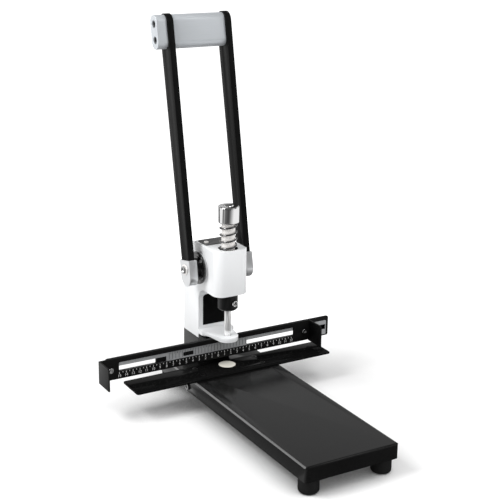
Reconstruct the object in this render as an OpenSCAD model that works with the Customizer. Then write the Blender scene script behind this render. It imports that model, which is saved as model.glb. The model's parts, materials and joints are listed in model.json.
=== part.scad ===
// Heavy duty single hole punch: a lever turns a pinion, the pinion drives a hollow punch down
// through a stack of paper that lies on the base and rests against a sliding back gauge.
// Sizes are in millimetres, +Z up, the user stands at -Y, and Z = 0 is the table top.

/* [Base] */
// Width of the base tray
base_w = 134; // [110:1:170]
// How far the base reaches in front of the punch
base_front = 306; // [240:1:360]
// How far the base reaches behind the column
base_tail = 0; // [0:1:20]
// Height of the base's top face above the floor
base_top = 40; // [36:1:52]
// Height of the tray's side walls
base_h = 20.5; // [16:0.5:26]
// Sheet thickness of the tray
base_wall = 3; // [2:0.5:4]
// Bend radius of the tray's edges
base_bend = 2.5; // [1.5:0.5:4]
// Corner radius of the tray seen from above
base_corner = 3; // [2:0.5:8]

/* [Feet] */
// Diameter of a rubber foot
foot_d = 26; // [20:1:32]
// Diameter of a foot's neck inside the tray
foot_neck_d = 20; // [16:1:24]
// Distance of a foot's centre from the tray's side and end
foot_inset = 14.5; // [14:0.5:30]
// Rounding of a foot's lower edge
foot_round = 4; // [2:0.5:6]
// Length of the tray's foot bosses
foot_boss_h = 10; // [6:1:14]
// Diameter of the foot screws
foot_screw_d = 5; // [4:0.5:6]

/* [Paper table] */
// Length of the paper table across the base
table_w = 304; // [220:1:340]
// Depth of the paper table
table_depth = 46.5; // [40:0.5:60]
// How far the table reaches behind the punch
table_tail = 14.5; // [10:0.5:16]
// Thickness of the table
table_t = 2; // [1.5:0.5:3]
// Corner radius of the table
table_corner = 3.5; // [2:0.5:12]
// Diameter of the cutting disc under the punch
disc_d = 24; // [18:1:28]
// Diameter of the table's countersunk screws
table_screw_d = 4; // [3:0.5:5]
// Height of the cross bar that backs the cutting disc
bar_h = 15; // [10:1:15]
// Width of the cross bar
bar_w = 34; // [28:1:44]
// Diameter of the cross bar's side screws
bar_screw_d = 6; // [4:0.5:8]
// How far the side screws sit in front of the punch
bar_screw_front = 10; // [6:1:12]

/* [Frame] */
// Width of the column and of the head
frame_w = 50; // [46:1:60]
// Distance from the punch to the column's front
throat = 38.2; // [36:0.1:50]
// Depth of the column
column_d = 45.3; // [42:0.1:54]
// Height of the paper space below the tongue
paper_space = 37.5; // [30:0.5:45]
// Thickness of the tongue
tongue_t = 6; // [4:0.5:8]
// Radius of the tongue's nose
tongue_r = 15; // [12:0.5:18]
// Half width of the tongue at its root
tongue_root = 17.3; // [15.5:0.1:20]
// Distance from the punch to where the tongue starts to widen
tongue_neck = 14; // [10:0.5:18]
// How far the tongue keeps the frame's width before the column
tongue_shoulder = 11; // [8:0.5:14]
// Depth of the frame's foot below the tongue
frame_sole = 6.5; // [4:0.5:10]
// Height of the sill under the throat panel
sill_h = 4.5; // [3:0.5:8]
// Clear height between the tongue and the head
throat_h = 62; // [58:0.5:75]
// Radius under the head where it meets the column
throat_fillet = 17; // [8:0.5:20]
// Half width of the opening in the column's front
panel_half = 18; // [14:0.5:19]
// Height of the throat panel
panel_h = 46; // [40:1:52]
// Thickness of the throat panel
panel_t = 3; // [2:0.5:4]
// How far the throat panel sits back
panel_set = 1.2; // [0.5:0.1:2]
// Half width of the hollow in the column
hollow_half = 15; // [12:0.5:16]
// Wall of the riser under the frame
riser_wall = 5; // [3:0.5:7]
// Diameter of the column bolts
bolt_d = 8; // [6:0.5:9]
// Length of a column bolt in the frame
bolt_grip = 12; // [8:0.5:14]
// Spacing of the column bolts across the frame
bolt_span_x = 28; // [24:1:29]
// Spacing of the column bolts along the frame
bolt_span_y = 20; // [16:1:21]

/* [Head] */
// Height of the head
head_h = 64; // [63:0.5:75]
// How far the head's front stands before the punch
head_front = 16; // [15:0.5:22]
// Corner radius of the head's front
head_corner = 13; // [6:0.5:14]
// Corner radius of the frame's back
back_corner = 1; // [0.5:0.5:6]
// Rounding over the head's top edges
head_edge = 2; // [1:0.5:4]
// Big radius at the head's upper rear corner
back_round = 38; // [30:0.5:39]
// Height of the round bosses on the head's sides
boss_h = 2.5; // [0.5:0.5:4]
// Diameter of the bosses
boss_d = 40; // [32:1:42]
// Depth of the cover plate on the head
cover_d = 24; // [20:1:25]
// Width of the cover plate
cover_w = 43; // [38:1:45]
// Thickness of the cover plate
cover_t = 1.5; // [1:0.5:2.5]
// Distance from the punch to the cover's front edge
cover_start = 22.5; // [19:0.5:24]
// Diameter of the cover screws
cover_screw_d = 3.5; // [3:0.5:4]
// Length of a cover screw in the head
cover_grip = 7; // [5:0.5:8]
// Width of the rear cover
rear_w = 42; // [36:1:44]
// Thickness of the rear cover
rear_t = 1.5; // [1:0.5:2.5]
// Diameter of the rear cover's screws
rear_screw_d = 3; // [2.5:0.5:3.5]
// Length of a rear screw in the frame
rear_grip = 6; // [4:0.5:8]

/* [Spindle] */
// Diameter of the spindle
spindle_d = 18.6; // [18:0.1:19.2]
// Diameter of the bore that carries the paper slugs up
slug_bore = 8; // [6:0.5:8]
// Longest travel of the punch
stroke = 33.9; // [25:0.1:34]
// Outer diameter of the spindle bushes
spindle_bush_d = 22; // [21:0.5:22]
// Length of the lower spindle bush
lower_bush_h = 12; // [8:1:12]
// Length of the upper spindle bush
upper_bush_h = 7; // [5:0.5:7]
// Diameter of the spring seat in the head
seat_d = 27; // [26:0.5:29]
// Depth of the spring seat
seat_depth = 12; // [8:0.5:12]
// Diameter of the cap on the spindle
cap_d = 28.8; // [26:0.1:32]
// Height of the cap
cap_h = 23.5; // [14:0.5:26]
// Gap between the cap and the head at rest
cap_gap = 36; // [36:0.5:46]
// Diameter of the punch holder
holder_d = 28; // [24:0.5:30]
// Height of the holder's cylinder
holder_h = 22.5; // [20:0.5:25]
// Height of the holder's cone
cone_h = 2; // [2:0.5:4]
// Outer diameter of the punch tube
tube_d = 9.1; // [8.6:0.1:10]
// Inner diameter of the punch tube
tube_bore = 7; // [5:0.1:7.4]
// How deep the punch tube sits in the holder
tube_grip = 10; // [8:0.5:12]
// Diameter of the spindle's spigot in the holder
spigot_d = 12; // [10.5:0.5:14]
// Diameter of the holder's clamp screw
clamp_d = 5; // [4:0.5:6]
// Turn of the clamp screw away from the front
clamp_turn = 9; // [0:1:45]

/* [Spring] */
// Diameter of the spring wire
wire_d = 2.2; // [1.6:0.1:2.4]
// Outer diameter of the return spring
spring_od = 24.6; // [24.2:0.1:25.4]
// Number of turns
spring_turns = 4.25; // [3:0.25:6]
// Direction in which the lower end of the wire stands, in degrees
spring_start = 180; // [0:5:355]
// Bend radius where the wire turns to meet its seat
wire_bend = 2.5; // [2:0.1:3]

/* [Drive] */
// Tooth module of the pinion and the rack
tooth_module = 2; // [2:0.01:2.02]
// Number of teeth on the pinion
teeth = 25; // [25:1:26]
// Width of the pinion
pinion_w = 16; // [10:0.5:17]
// Distance of the rack's pitch line behind the spindle's axis
rack_line = 7.5; // [7.3:0.05:7.8]
// Play between the teeth
backlash = 0.3; // [0.2:0.05:0.5]
// Height of the pivot above the head's underside
pivot_h = 31; // [31:0.5:33]
// Diameter of the pivot shaft
shaft_d = 16; // [12:0.5:17]
// Outer diameter of the pivot bushes
pivot_bush_d = 22; // [20:0.5:26]
// Diameter of the pin through pinion and shaft
pin_d = 4; // [3:0.5:5]

/* [Lever] */
// How far the lever leans back at rest, in degrees
lever_lean = 11.1; // [0:0.1:20]
// Distance from the pivot to the grip's centre
lever_l = 320; // [260:1:360]
// Distance between the lever arms
arm_gap = 78.8; // [76:0.2:100]
// How far the lever sits right of the punch
lever_shift = 0.7; // [0:0.1:1]
// Thickness of a lever arm
arm_t = 8.4; // [5:0.1:9]
// Width of an arm at the pivot
arm_low_w = 22; // [20:0.5:24]
// Width of an arm at the grip
arm_top_w = 26; // [24:0.5:30]
// Skin of an arm end's outer face
end_skin = 1.8; // [1:0.1:2.5]
// Thickness of an arm end's inner face
end_inner = 2; // [1:0.1:3]
// Wall of an arm end around the arm
end_rim = 3.2; // [1:0.1:4]
// Height of an arm end above the pivot
end_up = 13; // [12:0.5:18]
// Drop of the arm's round end below the pivot
arm_drop = 9; // [4:0.5:10]
// Diameter of a hub's flange
hub_d = 45; // [43:0.5:52]
// Thickness of a hub's flange
hub_flange = 3.2; // [2:0.1:5]
// Diameter of a hub's boss
hub_boss_d = 28; // [24:0.5:34]
// Diameter of the pivot screws
pivot_screw_d = 6; // [5:0.5:8]

/* [Grip] */
// Height of the grip's profile
grip_h = 45.3; // [36:0.1:52]
// Depth of the grip's profile
grip_d = 19.7; // [16:0.1:24]
// Length of the end block on the left arm
block_l = 15; // [10:0.5:24]
// Distance between the grip screws
grip_screw_span = 21.2; // [16:0.2:24]
// Diameter of the grip screws
grip_screw_d = 5; // [4:0.5:6]

/* [Gauge] */
// Distance from the punch to the gauge's front face
hole_margin = 10; // [9.6:0.1:14]
// Length of the gauge plate
gauge_l = 331; // [300:1:340]
// Height of the gauge plate
gauge_h = 30; // [28:0.5:31]
// Thickness of the gauge plate
gauge_t = 2; // [1.5:0.1:2.5]
// Depth of the gauge's end tabs
tab_d = 32.5; // [15:0.5:40]
// How far the end tabs reach below the gauge plate
tab_drop = 1.5; // [0:0.5:3]
// How far the gauge stands left of the punch
gauge_left = 22; // [20:0.5:26]
// Travel of the gauge to the right
gauge_travel = 36; // [20:1:36]
// Distance from the gauge's ends to its window
window_end = 28.5; // [25:0.5:36]
// Height of the window
window_h = 13; // [9:0.1:13.5]
// Height of the band above the window
window_band = 6.5; // [5:0.1:8]
// Distance from the gauge's ends to its clamp screws
clamp_end = 13.5; // [11.5:0.5:17]
// How far the clamp screws sit right of the gauge's middle
clamp_shift = 3; // [0:0.5:4]
// Solid end of the rail beyond its longer slot
rail_end = 3.2; // [2.6:0.1:12]
// Height of the rail
rail_h = 29.5; // [26:0.5:30]
// Thickness of the rail
rail_t = 3; // [2:0.1:4]
// Thickness of the grey scale strip on the rail
strip_t = 0.6; // [0.4:0.1:1]
// Bare edge of the rail above the strip
strip_above = 6; // [5:0.5:7]
// Bare edge of the rail below the strip
strip_below = 2; // [1:0.5:3]
// Bare edge of the rail at the strip's ends
strip_end = 4; // [3:0.5:6]
// Height of the slots in the rail
slot_h = 7.4; // [5:0.1:8]
// Solid stretch of the rail left of the punch
rail_mid_left = 103; // [90:1:110]
// Solid stretch of the rail right of the punch
rail_mid_right = 38; // [30:1:60]
// How much longer the strip's left slot is than the rail's
strip_slot_more = 15; // [10:0.5:20]
// How far the strip's peep hole sits left of the punch
peep_left = 54.2; // [48:0.2:60]
// Length of the peep hole
peep_l = 16; // [10:0.5:20]
// Height of the peep hole
peep_h = 5.8; // [4:0.1:7]
// How far the peep hole sits above the slots' middle
peep_up = 1.4; // [0:0.1:2]
// Length of the cap behind the rail's right end
end_cap_l = 28; // [20:1:40]
// Wall of the end cap
end_cap_wall = 1.5; // [1:0.1:1.7]
// How far the end cap's top sits below the rail's top
end_cap_drop = 5; // [4:0.5:6]
// Sheet thickness of the rail bracket
bracket_t = 2.5; // [2:0.1:3]
// Diameter of the screws that hold the bracket
bracket_screw_d = 5; // [4:0.5:6]
// Diameter of the screws that hold the rail
rail_screw_d = 4; // [3:0.5:5]

/* [Fits] */
// Radial gap of shafts and slides that run
run_gap = 0.05; // [0.02:0.01:0.09]
// Gap of parts that are fixed in one another
fix_gap = 0.05; // [0.02:0.01:0.1]
// Gap between moving parts that never touch
clear_gap = 0.3; // [0.2:0.05:0.5]

/* [Hidden] */
$fn = 72;

// Colours
white_coat = "whitesmoke";
black_coat = [0.13, 0.13, 0.14];
steel = [0.78, 0.79, 0.8];
grey_metal = [0.7, 0.72, 0.73];
dark_grey = [0.4, 0.41, 0.42];
rubber = [0.06, 0.06, 0.06];
bronze = [0.75, 0.58, 0.32];

// Heights
base_low = base_top - base_h;
plate_low = base_top - base_wall;
table_top = base_top + table_t;
tongue_z = table_top + paper_space;
tongue_top = tongue_z + tongue_t;
sole_z = tongue_z - frame_sole;
sill_z = tongue_top + sill_h;
head_z = tongue_top + throat_h;
head_top = head_z + head_h;
seat_z = head_top - seat_depth;
cap_z = head_top + cap_gap;
cap_top = cap_z + cap_h;

// Places behind and before the punch
column_y = throat;
back_y = throat + column_d;
column_mid = (column_y + back_y) / 2;
base_back = back_y + base_tail;
base_l = base_front + base_back;
table_front = table_tail - table_depth;

// Drive
pitch_r = tooth_module * teeth / 2;
tip_r = pitch_r + tooth_module;
root_r = pitch_r - 1.25 * tooth_module;
pressure = 20;
involute_r = pitch_r * cos(pressure);
tooth_step = PI * tooth_module;
flank_points = 6;
pivot_y = rack_line + pitch_r;
pivot_z = head_z + pivot_h;
cavity_r = tip_r + 1;
cavity_half = pinion_w / 2 + 1.5;

// Punch: it stops on the cutting disc, or before its holder meets the tongue
holder_top = head_z - clear_gap;
holder_low = holder_top - holder_h;
cone_low = holder_low - cone_h;
travel = min(stroke, cone_low - tongue_top - 0.2);
tip_rest = table_top + travel + 0.1;
tube_seat = cone_low + tube_grip;
spigot_low = tube_seat + 0.2;
clamp_z = spigot_low + clamp_d / 2;
tongue_hole = tube_d + 2 * clear_gap;

// Lever
arm_in = arm_gap / 2;
arm_out = arm_in + arm_t;
end_in = arm_in - end_inner;
end_out = arm_out + end_skin;
end_w = arm_low_w + 2 * end_rim;
boss_x = frame_w / 2 + boss_h;
hub_in = boss_x + clear_gap;
arm_top_r = arm_top_w / 2;
arm_tip_l = lever_l + grip_h / 2 + 1.5 - arm_top_r;
washer_t = 1;
washer_d = 15;

// Gauge
gauge_y = hole_margin;
gauge_back = gauge_y + gauge_t;
strip_y = gauge_back + 0.15;
rail_y = strip_y + strip_t;
rail_back = rail_y + rail_t;
gauge_top = tongue_z - 0.5;
gauge_low = gauge_top - gauge_h;
rail_top = gauge_top - 0.2;
rail_low = rail_top - rail_h;
window_top = gauge_top - window_band;
window_low = window_top - window_h;
slot_mid = window_low + slot_h / 2 - 0.2;
clamp_screw_d = 4;
clamp_nut_d = 11;
clamp_nut_h = 4;
clamp_screw_tail = 6;
clamp_screw_z = slot_mid;
window_half = gauge_l / 2 - window_end;
clamp_half = gauge_l / 2 - clamp_end;
clamp_left = clamp_shift - gauge_left - clamp_half;
clamp_right = clamp_shift - gauge_left + clamp_half;
slot_end_left = clamp_left - clamp_screw_d / 2 - clear_gap;
slot_end_right = clamp_right + gauge_travel + clamp_screw_d / 2 + clear_gap;
rail_half = max(-slot_end_left, slot_end_right) + rail_end;
bracket_out = frame_w / 2;

// The origin stands under the middle of the whole object
reach_left = gauge_left + gauge_l / 2;
reach_right = rail_half;
reach_back = pivot_y + arm_tip_l * sin(lever_lean) + arm_top_r;
middle_x = (reach_right - reach_left) / 2;
middle_y = (reach_back - base_front) / 2;

// Basic shapes

module along_x(l) {
  rotate([90, 0, 90]) linear_extrude(l, center = true) children();
}

module along_y(l) {
  rotate([90, 0, 0]) linear_extrude(l, center = true) children();
}

module rod_x(d, from, to) {
  translate([from, 0, 0]) rotate([0, 90, 0]) cylinder(d = d, h = to - from);
}

module rod_y(d, from, to) {
  translate([0, to, 0]) rotate([90, 0, 0]) cylinder(d = d, h = to - from);
}

module rod_z(d, from, to) {
  translate([0, 0, from]) cylinder(d = d, h = to - from);
}

module block(x, y, z) {
  translate([x[0], y[0], z[0]]) cube([x[1] - x[0], y[1] - y[0], z[1] - z[0]]);
}

module round_rect(w, h, r) {
  square([w - 2 * r, h], center = true);
  square([w, h - 2 * r], center = true);
  for (x = [-1, 1], y = [-1, 1])
    translate([x * (w / 2 - r), y * (h / 2 - r)]) circle(r);
}

module stadium(w, h) {
  square([w, h - w], center = true);
  for (y = [-1, 1]) translate([0, y * (h - w) / 2]) circle(d = w);
}

// A box with a rounded plan and a small bend along its upper edges
module bent_box(w, l, h, corner, bend) {
  intersection() {
    linear_extrude(h) round_rect(w, l, corner);
    translate([0, 0, h / 2 - bend]) along_x(w) round_rect(l, h + 2 * bend, bend);
    translate([0, 0, h / 2 - bend]) along_y(l) round_rect(w, h + 2 * bend, bend);
  }
}

// A socket screw along +Z: its head stands on Z = 0 and its shank runs down
module socket_screw(d, head_d, head_h, shank, hex) {
  difference() {
    union() {
      cylinder(d = head_d, h = head_h);
      translate([0, 0, -shank]) cylinder(d = d, h = shank + 0.5);
    }
    translate([0, 0, head_h * 0.4]) cylinder(d = hex, h = head_h, $fn = 6);
  }
}

// A countersunk screw along +Z, flush with Z = 0
module flush_screw(d, length) {
  difference() {
    union() {
      translate([0, 0, -d / 2]) cylinder(d1 = d, d2 = 2 * d, h = d / 2);
      translate([0, 0, -length]) cylinder(d = d, h = length - d / 2 + 0.1);
    }
    translate([0, 0, -d * 0.3]) linear_extrude(d) cross_slot(d);
  }
}

module cross_slot(d) {
  square([d * 1.1, d * 0.22], center = true);
  square([d * 0.22, d * 1.1], center = true);
}

module flush_hole(d, length) {
  translate([0, 0, -d / 2 - fix_gap]) cylinder(d1 = d + 2 * fix_gap, d2 = 2 * d + 2 * fix_gap, h = d / 2);
  translate([0, 0, -fix_gap - 0.01]) cylinder(d = 2 * d + 2 * fix_gap, h = 1);
  translate([0, 0, -length]) cylinder(d = d + 2 * fix_gap, h = length);
}

// Places of things that repeat

module at_feet() {
  for (x = [-1, 1], y = [-base_front + foot_inset, base_back - foot_inset])
    translate([x * (base_w / 2 - foot_inset), y, 0]) children();
}

bar_y = [bar_w * 0.35 - bar_w, bar_w * 0.35];
table_screw_x = base_w / 2 - 20;
table_screw_y = [bar_y[0] + 5, bar_y[1] - 5];

module at_table_screws() {
  for (x = [-1, 1], y = table_screw_y) translate([x * table_screw_x, y, table_top]) children();
}

module at_bolts() {
  for (x = [-1, 1], y = [-1, 1])
    translate([x * bolt_span_x / 2, column_mid + y * bolt_span_y / 2, 0]) children();
}

bar_screw_z = plate_low - bar_h / 2 - 3;

module at_side_screws() {
  for (x = [-1, 1])
    translate([x * base_w / 2, -bar_screw_front, bar_screw_z]) rotate([0, x * 90, 0]) children();
}

cover_screw_x = cover_w / 2 - 4.5;
cover_screw_y = cover_start + 8.5;

module at_cover_screws() {
  for (x = [-1, 1]) translate([x * cover_screw_x, cover_screw_y, head_top + cover_t]) children();
}

rear_low = sill_z + 2;
rear_high = head_top - back_round - 5;
rear_screw_x = rear_w / 2 - 3;

module at_rear_screws() {
  for (x = [-1, 1], z = [rear_low + 4, rear_high - 4])
    translate([x * rear_screw_x, back_y + rear_t, z]) rotate([-90, 0, 0]) children();
}

bracket_screw_x = frame_w / 4;
bracket_screw_z = (base_top + sole_z) / 2;

module at_bracket_screws() {
  for (x = [-1, 1])
    translate([x * bracket_screw_x, column_y - bracket_t, bracket_screw_z]) rotate([90, 0, 0]) children();
}

rail_screw_x = frame_w / 2 - bracket_t - 5;
rail_screw_z = rail_low + 5;
rail_screw_l = strip_t + rail_t + bracket_t;

module at_rail_screws() {
  for (x = [-1, 1]) translate([x * rail_screw_x, strip_y, rail_screw_z]) rotate([90, 0, 0]) children();
}

module in_lever() {
  translate([lever_shift, pivot_y, pivot_z]) rotate([-lever_lean, 0, 0]) children();
}

module at_clamp_screws() {
  for (x = [clamp_left, clamp_right]) translate([x, gauge_y, clamp_screw_z]) rotate([90, 0, 0]) children();
}

// Base

module base_plate() {
  color(black_coat) difference() {
    union() {
      difference() {
        translate([0, (base_back - base_front) / 2, base_low])
          bent_box(base_w, base_l, base_h, base_corner, base_bend);
        block(
          [base_wall - base_w / 2, base_w / 2 - base_wall],
          [base_wall - base_front, base_back - base_wall],
          [base_low - 1, plate_low]
        );
      }
      at_feet() rod_z(foot_neck_d, plate_low - foot_boss_h, plate_low + 0.5);
    }
    at_feet() rod_z(foot_screw_d + 2 * fix_gap, plate_low - foot_boss_h - 1, plate_low - 1);
    rod_z(disc_d + 2 * fix_gap, plate_low - 1, base_top + 1);
    at_table_screws() rod_z(table_screw_d + 2 * fix_gap, -table_t - base_wall - 1, 1);
    at_side_screws() rod_z(bar_screw_d + 2 * fix_gap, -base_wall - 1, 1);
    at_bolts() rod_z(bolt_d + 2 * fix_gap, plate_low - 1, base_top + 1);
  }
}

module rubber_feet() {
  foot_top = plate_low - foot_boss_h;
  foot_r = foot_d / 2;
  color(rubber) at_feet() difference() {
    union() {
      rotate_extrude() {
        square([foot_r - foot_round, base_low]);
        translate([0, foot_round]) square([foot_r, base_low - foot_round]);
        translate([foot_r - foot_round, foot_round]) circle(foot_round);
      }
      rod_z(foot_neck_d, base_low - 0.5, foot_top);
    }
    rod_z(foot_screw_d + 2 * fix_gap, -1, foot_top + 1);
    rod_z(2 * foot_screw_d + 1, -1, foot_screw_seat);
  }
}

foot_screw_seat = 8;

module foot_screws() {
  shank = plate_low - foot_boss_h - foot_screw_seat + 7;
  color(steel) at_feet() translate([0, 0, foot_screw_seat]) rotate([180, 0, 0])
    socket_screw(foot_screw_d, 2 * foot_screw_d, foot_screw_d * 0.6, shank, foot_screw_d * 0.7);
}

module support_bar() {
  x = base_w / 2 - base_wall - fix_gap;
  color(steel) difference() {
    block([-x, x], bar_y, [plate_low - bar_h, plate_low]);
    at_side_screws() rod_z(bar_screw_d + 2 * fix_gap, -25, 1);
    at_table_screws() rod_z(table_screw_d + 2 * fix_gap, -table_t - base_wall - 8, 1);
  }
}

module side_screws() {
  color(steel) at_side_screws()
    socket_screw(bar_screw_d, bar_screw_d * 1.6, bar_screw_d * 0.35, 18, bar_screw_d * 0.8);
}

module cutting_disc() {
  color("ivory") rod_z(disc_d, plate_low, table_top);
}

module paper_table() {
  color(black_coat) difference() {
    translate([0, (table_front + table_tail) / 2, base_top])
      linear_extrude(table_t) round_rect(table_w, table_depth, table_corner);
    rod_z(disc_d + 2 * fix_gap, base_top - 1, table_top + 1);
    at_table_screws() flush_hole(table_screw_d, table_t + 1);
  }
}

module table_screws() {
  color(steel) at_table_screws() flush_screw(table_screw_d, table_t + base_wall + 3);
}

// Frame

module riser() {
  color(black_coat) difference() {
    translate([0, column_mid, base_top]) linear_extrude(sole_z - base_top) difference() {
      round_rect(frame_w, column_d, back_corner);
      square([frame_w - 2 * riser_wall, column_d - 2 * riser_wall], center = true);
    }
    at_bracket_screws() rod_z(bracket_screw_d + 2 * fix_gap, -bracket_t - riser_wall - 1, 1);
  }
}

module column_bolts() {
  head = bolt_d * 0.6;
  color(steel) at_bolts() {
    translate([0, 0, plate_low - head]) cylinder(d = bolt_d * 1.75, h = head, $fn = 6);
    rod_z(bolt_d, plate_low - 0.5, sole_z + bolt_grip);
  }
}

// Side view of the frame: column, head, throat fillet and rounded back
module frame_side() {
  difference() {
    union() {
      translate([column_y, sole_z]) square([column_d, head_top - sole_z - back_round]);
      translate([-head_front, head_z]) square([back_y - back_round + head_front, head_h]);
      translate([column_y, head_z]) square([column_d, head_h - back_round]);
      translate([back_y - back_round, head_top - back_round]) circle(back_round);
      translate([column_y - throat_fillet, head_z - throat_fillet]) square(throat_fillet + 0.5);
    }
    translate([column_y - throat_fillet, head_z - throat_fillet]) circle(throat_fillet);
  }
}

// Plan of the frame: big corners at the front, small ones at the back
module frame_plan() {
  half = frame_w / 2;
  round_y = head_corner - head_front;
  translate([-half, round_y]) square([frame_w, back_y - back_corner - round_y]);
  translate([head_corner - half, -head_front]) square([frame_w - 2 * head_corner, head_corner + 1]);
  translate([back_corner - half, back_y - back_corner - 1]) square([frame_w - 2 * back_corner, back_corner + 1]);
  for (x = [-1, 1]) {
    translate([x * (half - head_corner), round_y]) circle(head_corner);
    translate([x * (half - back_corner), back_y - back_corner]) circle(back_corner);
  }
}

// Plan of the tongue: a round nose about the punch, a neck, then arcs that widen to the frame's width
module tongue_plan() {
  half = frame_w / 2;
  widen = half - tongue_root;
  run = throat - tongue_shoulder - tongue_neck;
  arc_r = (run * run + widen * widen) / (2 * widen);
  circle(tongue_r);
  polygon([
    [-tongue_r, 0], [-tongue_root, tongue_neck], [-tongue_root, column_y + 1],
    [tongue_root, column_y + 1], [tongue_root, tongue_neck], [tongue_r, 0]
  ]);
  for (x = [-1, 1]) difference() {
    translate([x * (tongue_root + half) / 2, (tongue_neck + column_y + 1) / 2])
      square([widen, column_y + 1 - tongue_neck], center = true);
    translate([x * (tongue_root + arc_r), tongue_neck]) circle(arc_r);
  }
}

module frame_solid() {
  height = head_top - sole_z;
  intersection() {
    along_x(frame_w) frame_side();
    translate([0, 0, sole_z]) linear_extrude(height) frame_plan();
    translate([0, (back_y - head_front) / 2, sole_z + height / 2 - head_edge])
      along_y(back_y + head_front) round_rect(frame_w, height + 2 * head_edge, head_edge);
  }
  translate([0, pivot_y, pivot_z]) rod_x(boss_d, -boss_x, boss_x);
  translate([0, 0, tongue_z]) linear_extrude(tongue_t) tongue_plan();
}

panel_top = sill_z + panel_h;
panel_corner = 5;
ledge_y = column_y + panel_set + panel_t;

// Front outline of the opening in the column
module panel_shape(gap) {
  w = 2 * panel_half - 2 * gap;
  h = panel_h - 2 * gap;
  r = panel_corner - gap;
  translate([0, sill_z + panel_h / 2]) {
    square([w - 2 * r, h], center = true);
    translate([0, -r / 2]) square([w, h - r], center = true);
    for (x = [-1, 1]) translate([x * (w / 2 - r), h / 2 - r]) circle(r);
  }
}

module frame_hollows() {
  front = column_y - throat_fillet - 1;
  translate([0, (front + ledge_y) / 2, 0]) along_y(ledge_y - front) panel_shape(0);
  block([-hollow_half, hollow_half], [ledge_y - 0.5, back_y + 1], [rear_low, rear_high]);
  block([-cavity_half, cavity_half], [pivot_y, back_y - 12], [rear_high - 10, pivot_z]);
  translate([0, pivot_y, pivot_z]) rod_x(2 * cavity_r, -cavity_half, cavity_half);
  block([-cavity_half, cavity_half], [cover_start + 4, cover_start + cover_d - 5], [pivot_z, head_top + 1]);
}

module frame_bores() {
  bush_bore = spindle_bush_d + 2 * fix_gap;
  rod_z(spindle_d + 1, head_z - 1, head_top + 1);
  rod_z(bush_bore, head_z - 1, head_z + lower_bush_h);
  rod_z(bush_bore, seat_z - upper_bush_h, seat_z + 1);
  rod_z(seat_d, seat_z, head_top + 1);
  translate([0, pivot_y, pivot_z]) rod_x(pivot_bush_d + 2 * fix_gap, -frame_w, frame_w);
  rod_z(tongue_hole, tongue_z - 1, tongue_top + 1);
  at_bolts() rod_z(bolt_d + 2 * fix_gap, sole_z - 1, sole_z + bolt_grip + 1);
  at_cover_screws() rod_z(cover_screw_d + 2 * fix_gap, -cover_t - cover_grip - 1, 1);
  at_rear_screws() rod_z(rear_screw_d + 2 * fix_gap, -rear_t - rear_grip - 1, 1);
}

module frame_casting() {
  color(white_coat) difference() {
    frame_solid();
    frame_hollows();
    frame_bores();
  }
}

module throat_panel() {
  color(black_coat) translate([0, column_y + panel_set + panel_t / 2, 0]) along_y(panel_t) panel_shape(fix_gap);
}

module top_cover() {
  color(dark_grey) difference() {
    translate([0, cover_start + cover_d / 2, head_top]) linear_extrude(cover_t) round_rect(cover_w, cover_d, 1.5);
    at_cover_screws() rod_z(cover_screw_d + 2 * fix_gap, -cover_t - 1, 1);
  }
}

module cover_screws() {
  color(steel) at_cover_screws()
    socket_screw(cover_screw_d, cover_screw_d * 1.9, 1.8, cover_t + cover_grip, cover_screw_d * 0.8);
}

module rear_cover() {
  color(black_coat) difference() {
    translate([0, back_y + rear_t / 2, (rear_low + rear_high) / 2])
      along_y(rear_t) round_rect(rear_w, rear_high - rear_low, 2);
    at_rear_screws() rod_z(rear_screw_d + 2 * fix_gap, -rear_t - 1, 1);
  }
}

module rear_screws() {
  color(steel) at_rear_screws()
    socket_screw(rear_screw_d, rear_screw_d * 1.8, rear_screw_d * 0.55, rear_t + rear_grip, rear_screw_d * 0.8);
}

module lower_bush() {
  color(bronze) difference() {
    rod_z(spindle_bush_d, head_z, head_z + lower_bush_h);
    rod_z(spindle_d + 2 * run_gap, head_z - 1, head_z + lower_bush_h + 1);
  }
}

// The upper bush is relieved behind, where the pinion passes
module upper_bush() {
  color(bronze) difference() {
    rod_z(spindle_bush_d, seat_z - upper_bush_h, seat_z);
    rod_z(spindle_d + 2 * run_gap, seat_z - upper_bush_h - 1, seat_z + 1);
    translate([0, pivot_y, pivot_z]) rod_x(2 * cavity_r, -spindle_bush_d, spindle_bush_d);
  }
}

module pivot_bush(side) {
  color(bronze) translate([0, pivot_y, pivot_z]) mirror([side < 0 ? 1 : 0, 0, 0]) difference() {
    rod_x(pivot_bush_d, cavity_half, boss_x);
    rod_x(shaft_d + 2 * run_gap, cavity_half - 1, boss_x + 1);
  }
}

// Spring

spring_r = (spring_od - wire_d) / 2;
spring_low = seat_z;
spring_high = cap_z - clear_gap;
rings_per_turn = 14;
bend_rings = 4;
wire_sides = 6;
climb = spring_high - spring_low - 2 * (wire_d + wire_bend);
bend_angle = wire_bend / spring_r * 180 / PI;

function on_coil(angle, z) = [spring_r * cos(spring_start + angle), spring_r * sin(spring_start + angle), z];

// The wire rises straight from its seat, bends into the coil, and leaves it the same way
function wire_path() = concat(
  [on_coil(0, spring_low), on_coil(0, spring_low + wire_d / 2)],
  [for (i = [0 : bend_rings])
    let (t = 90 * i / bend_rings)
    on_coil(bend_angle * (1 - cos(t)), spring_low + wire_d + wire_bend * sin(t))],
  [for (i = [1 : spring_turns * rings_per_turn - 1])
    let (share = i / (spring_turns * rings_per_turn))
    on_coil(bend_angle + 360 * spring_turns * share, spring_low + wire_d + wire_bend + climb * share)],
  [for (i = [bend_rings : -1 : 0])
    let (t = 90 * i / bend_rings)
    on_coil(
      2 * bend_angle + 360 * spring_turns - bend_angle * (1 - cos(t)),
      spring_high - wire_d - wire_bend * sin(t)
    )],
  [on_coil(2 * bend_angle + 360 * spring_turns, spring_high - wire_d / 2),
    on_coil(2 * bend_angle + 360 * spring_turns, spring_high)]
);

function unit(v) = v / norm(v);

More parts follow.
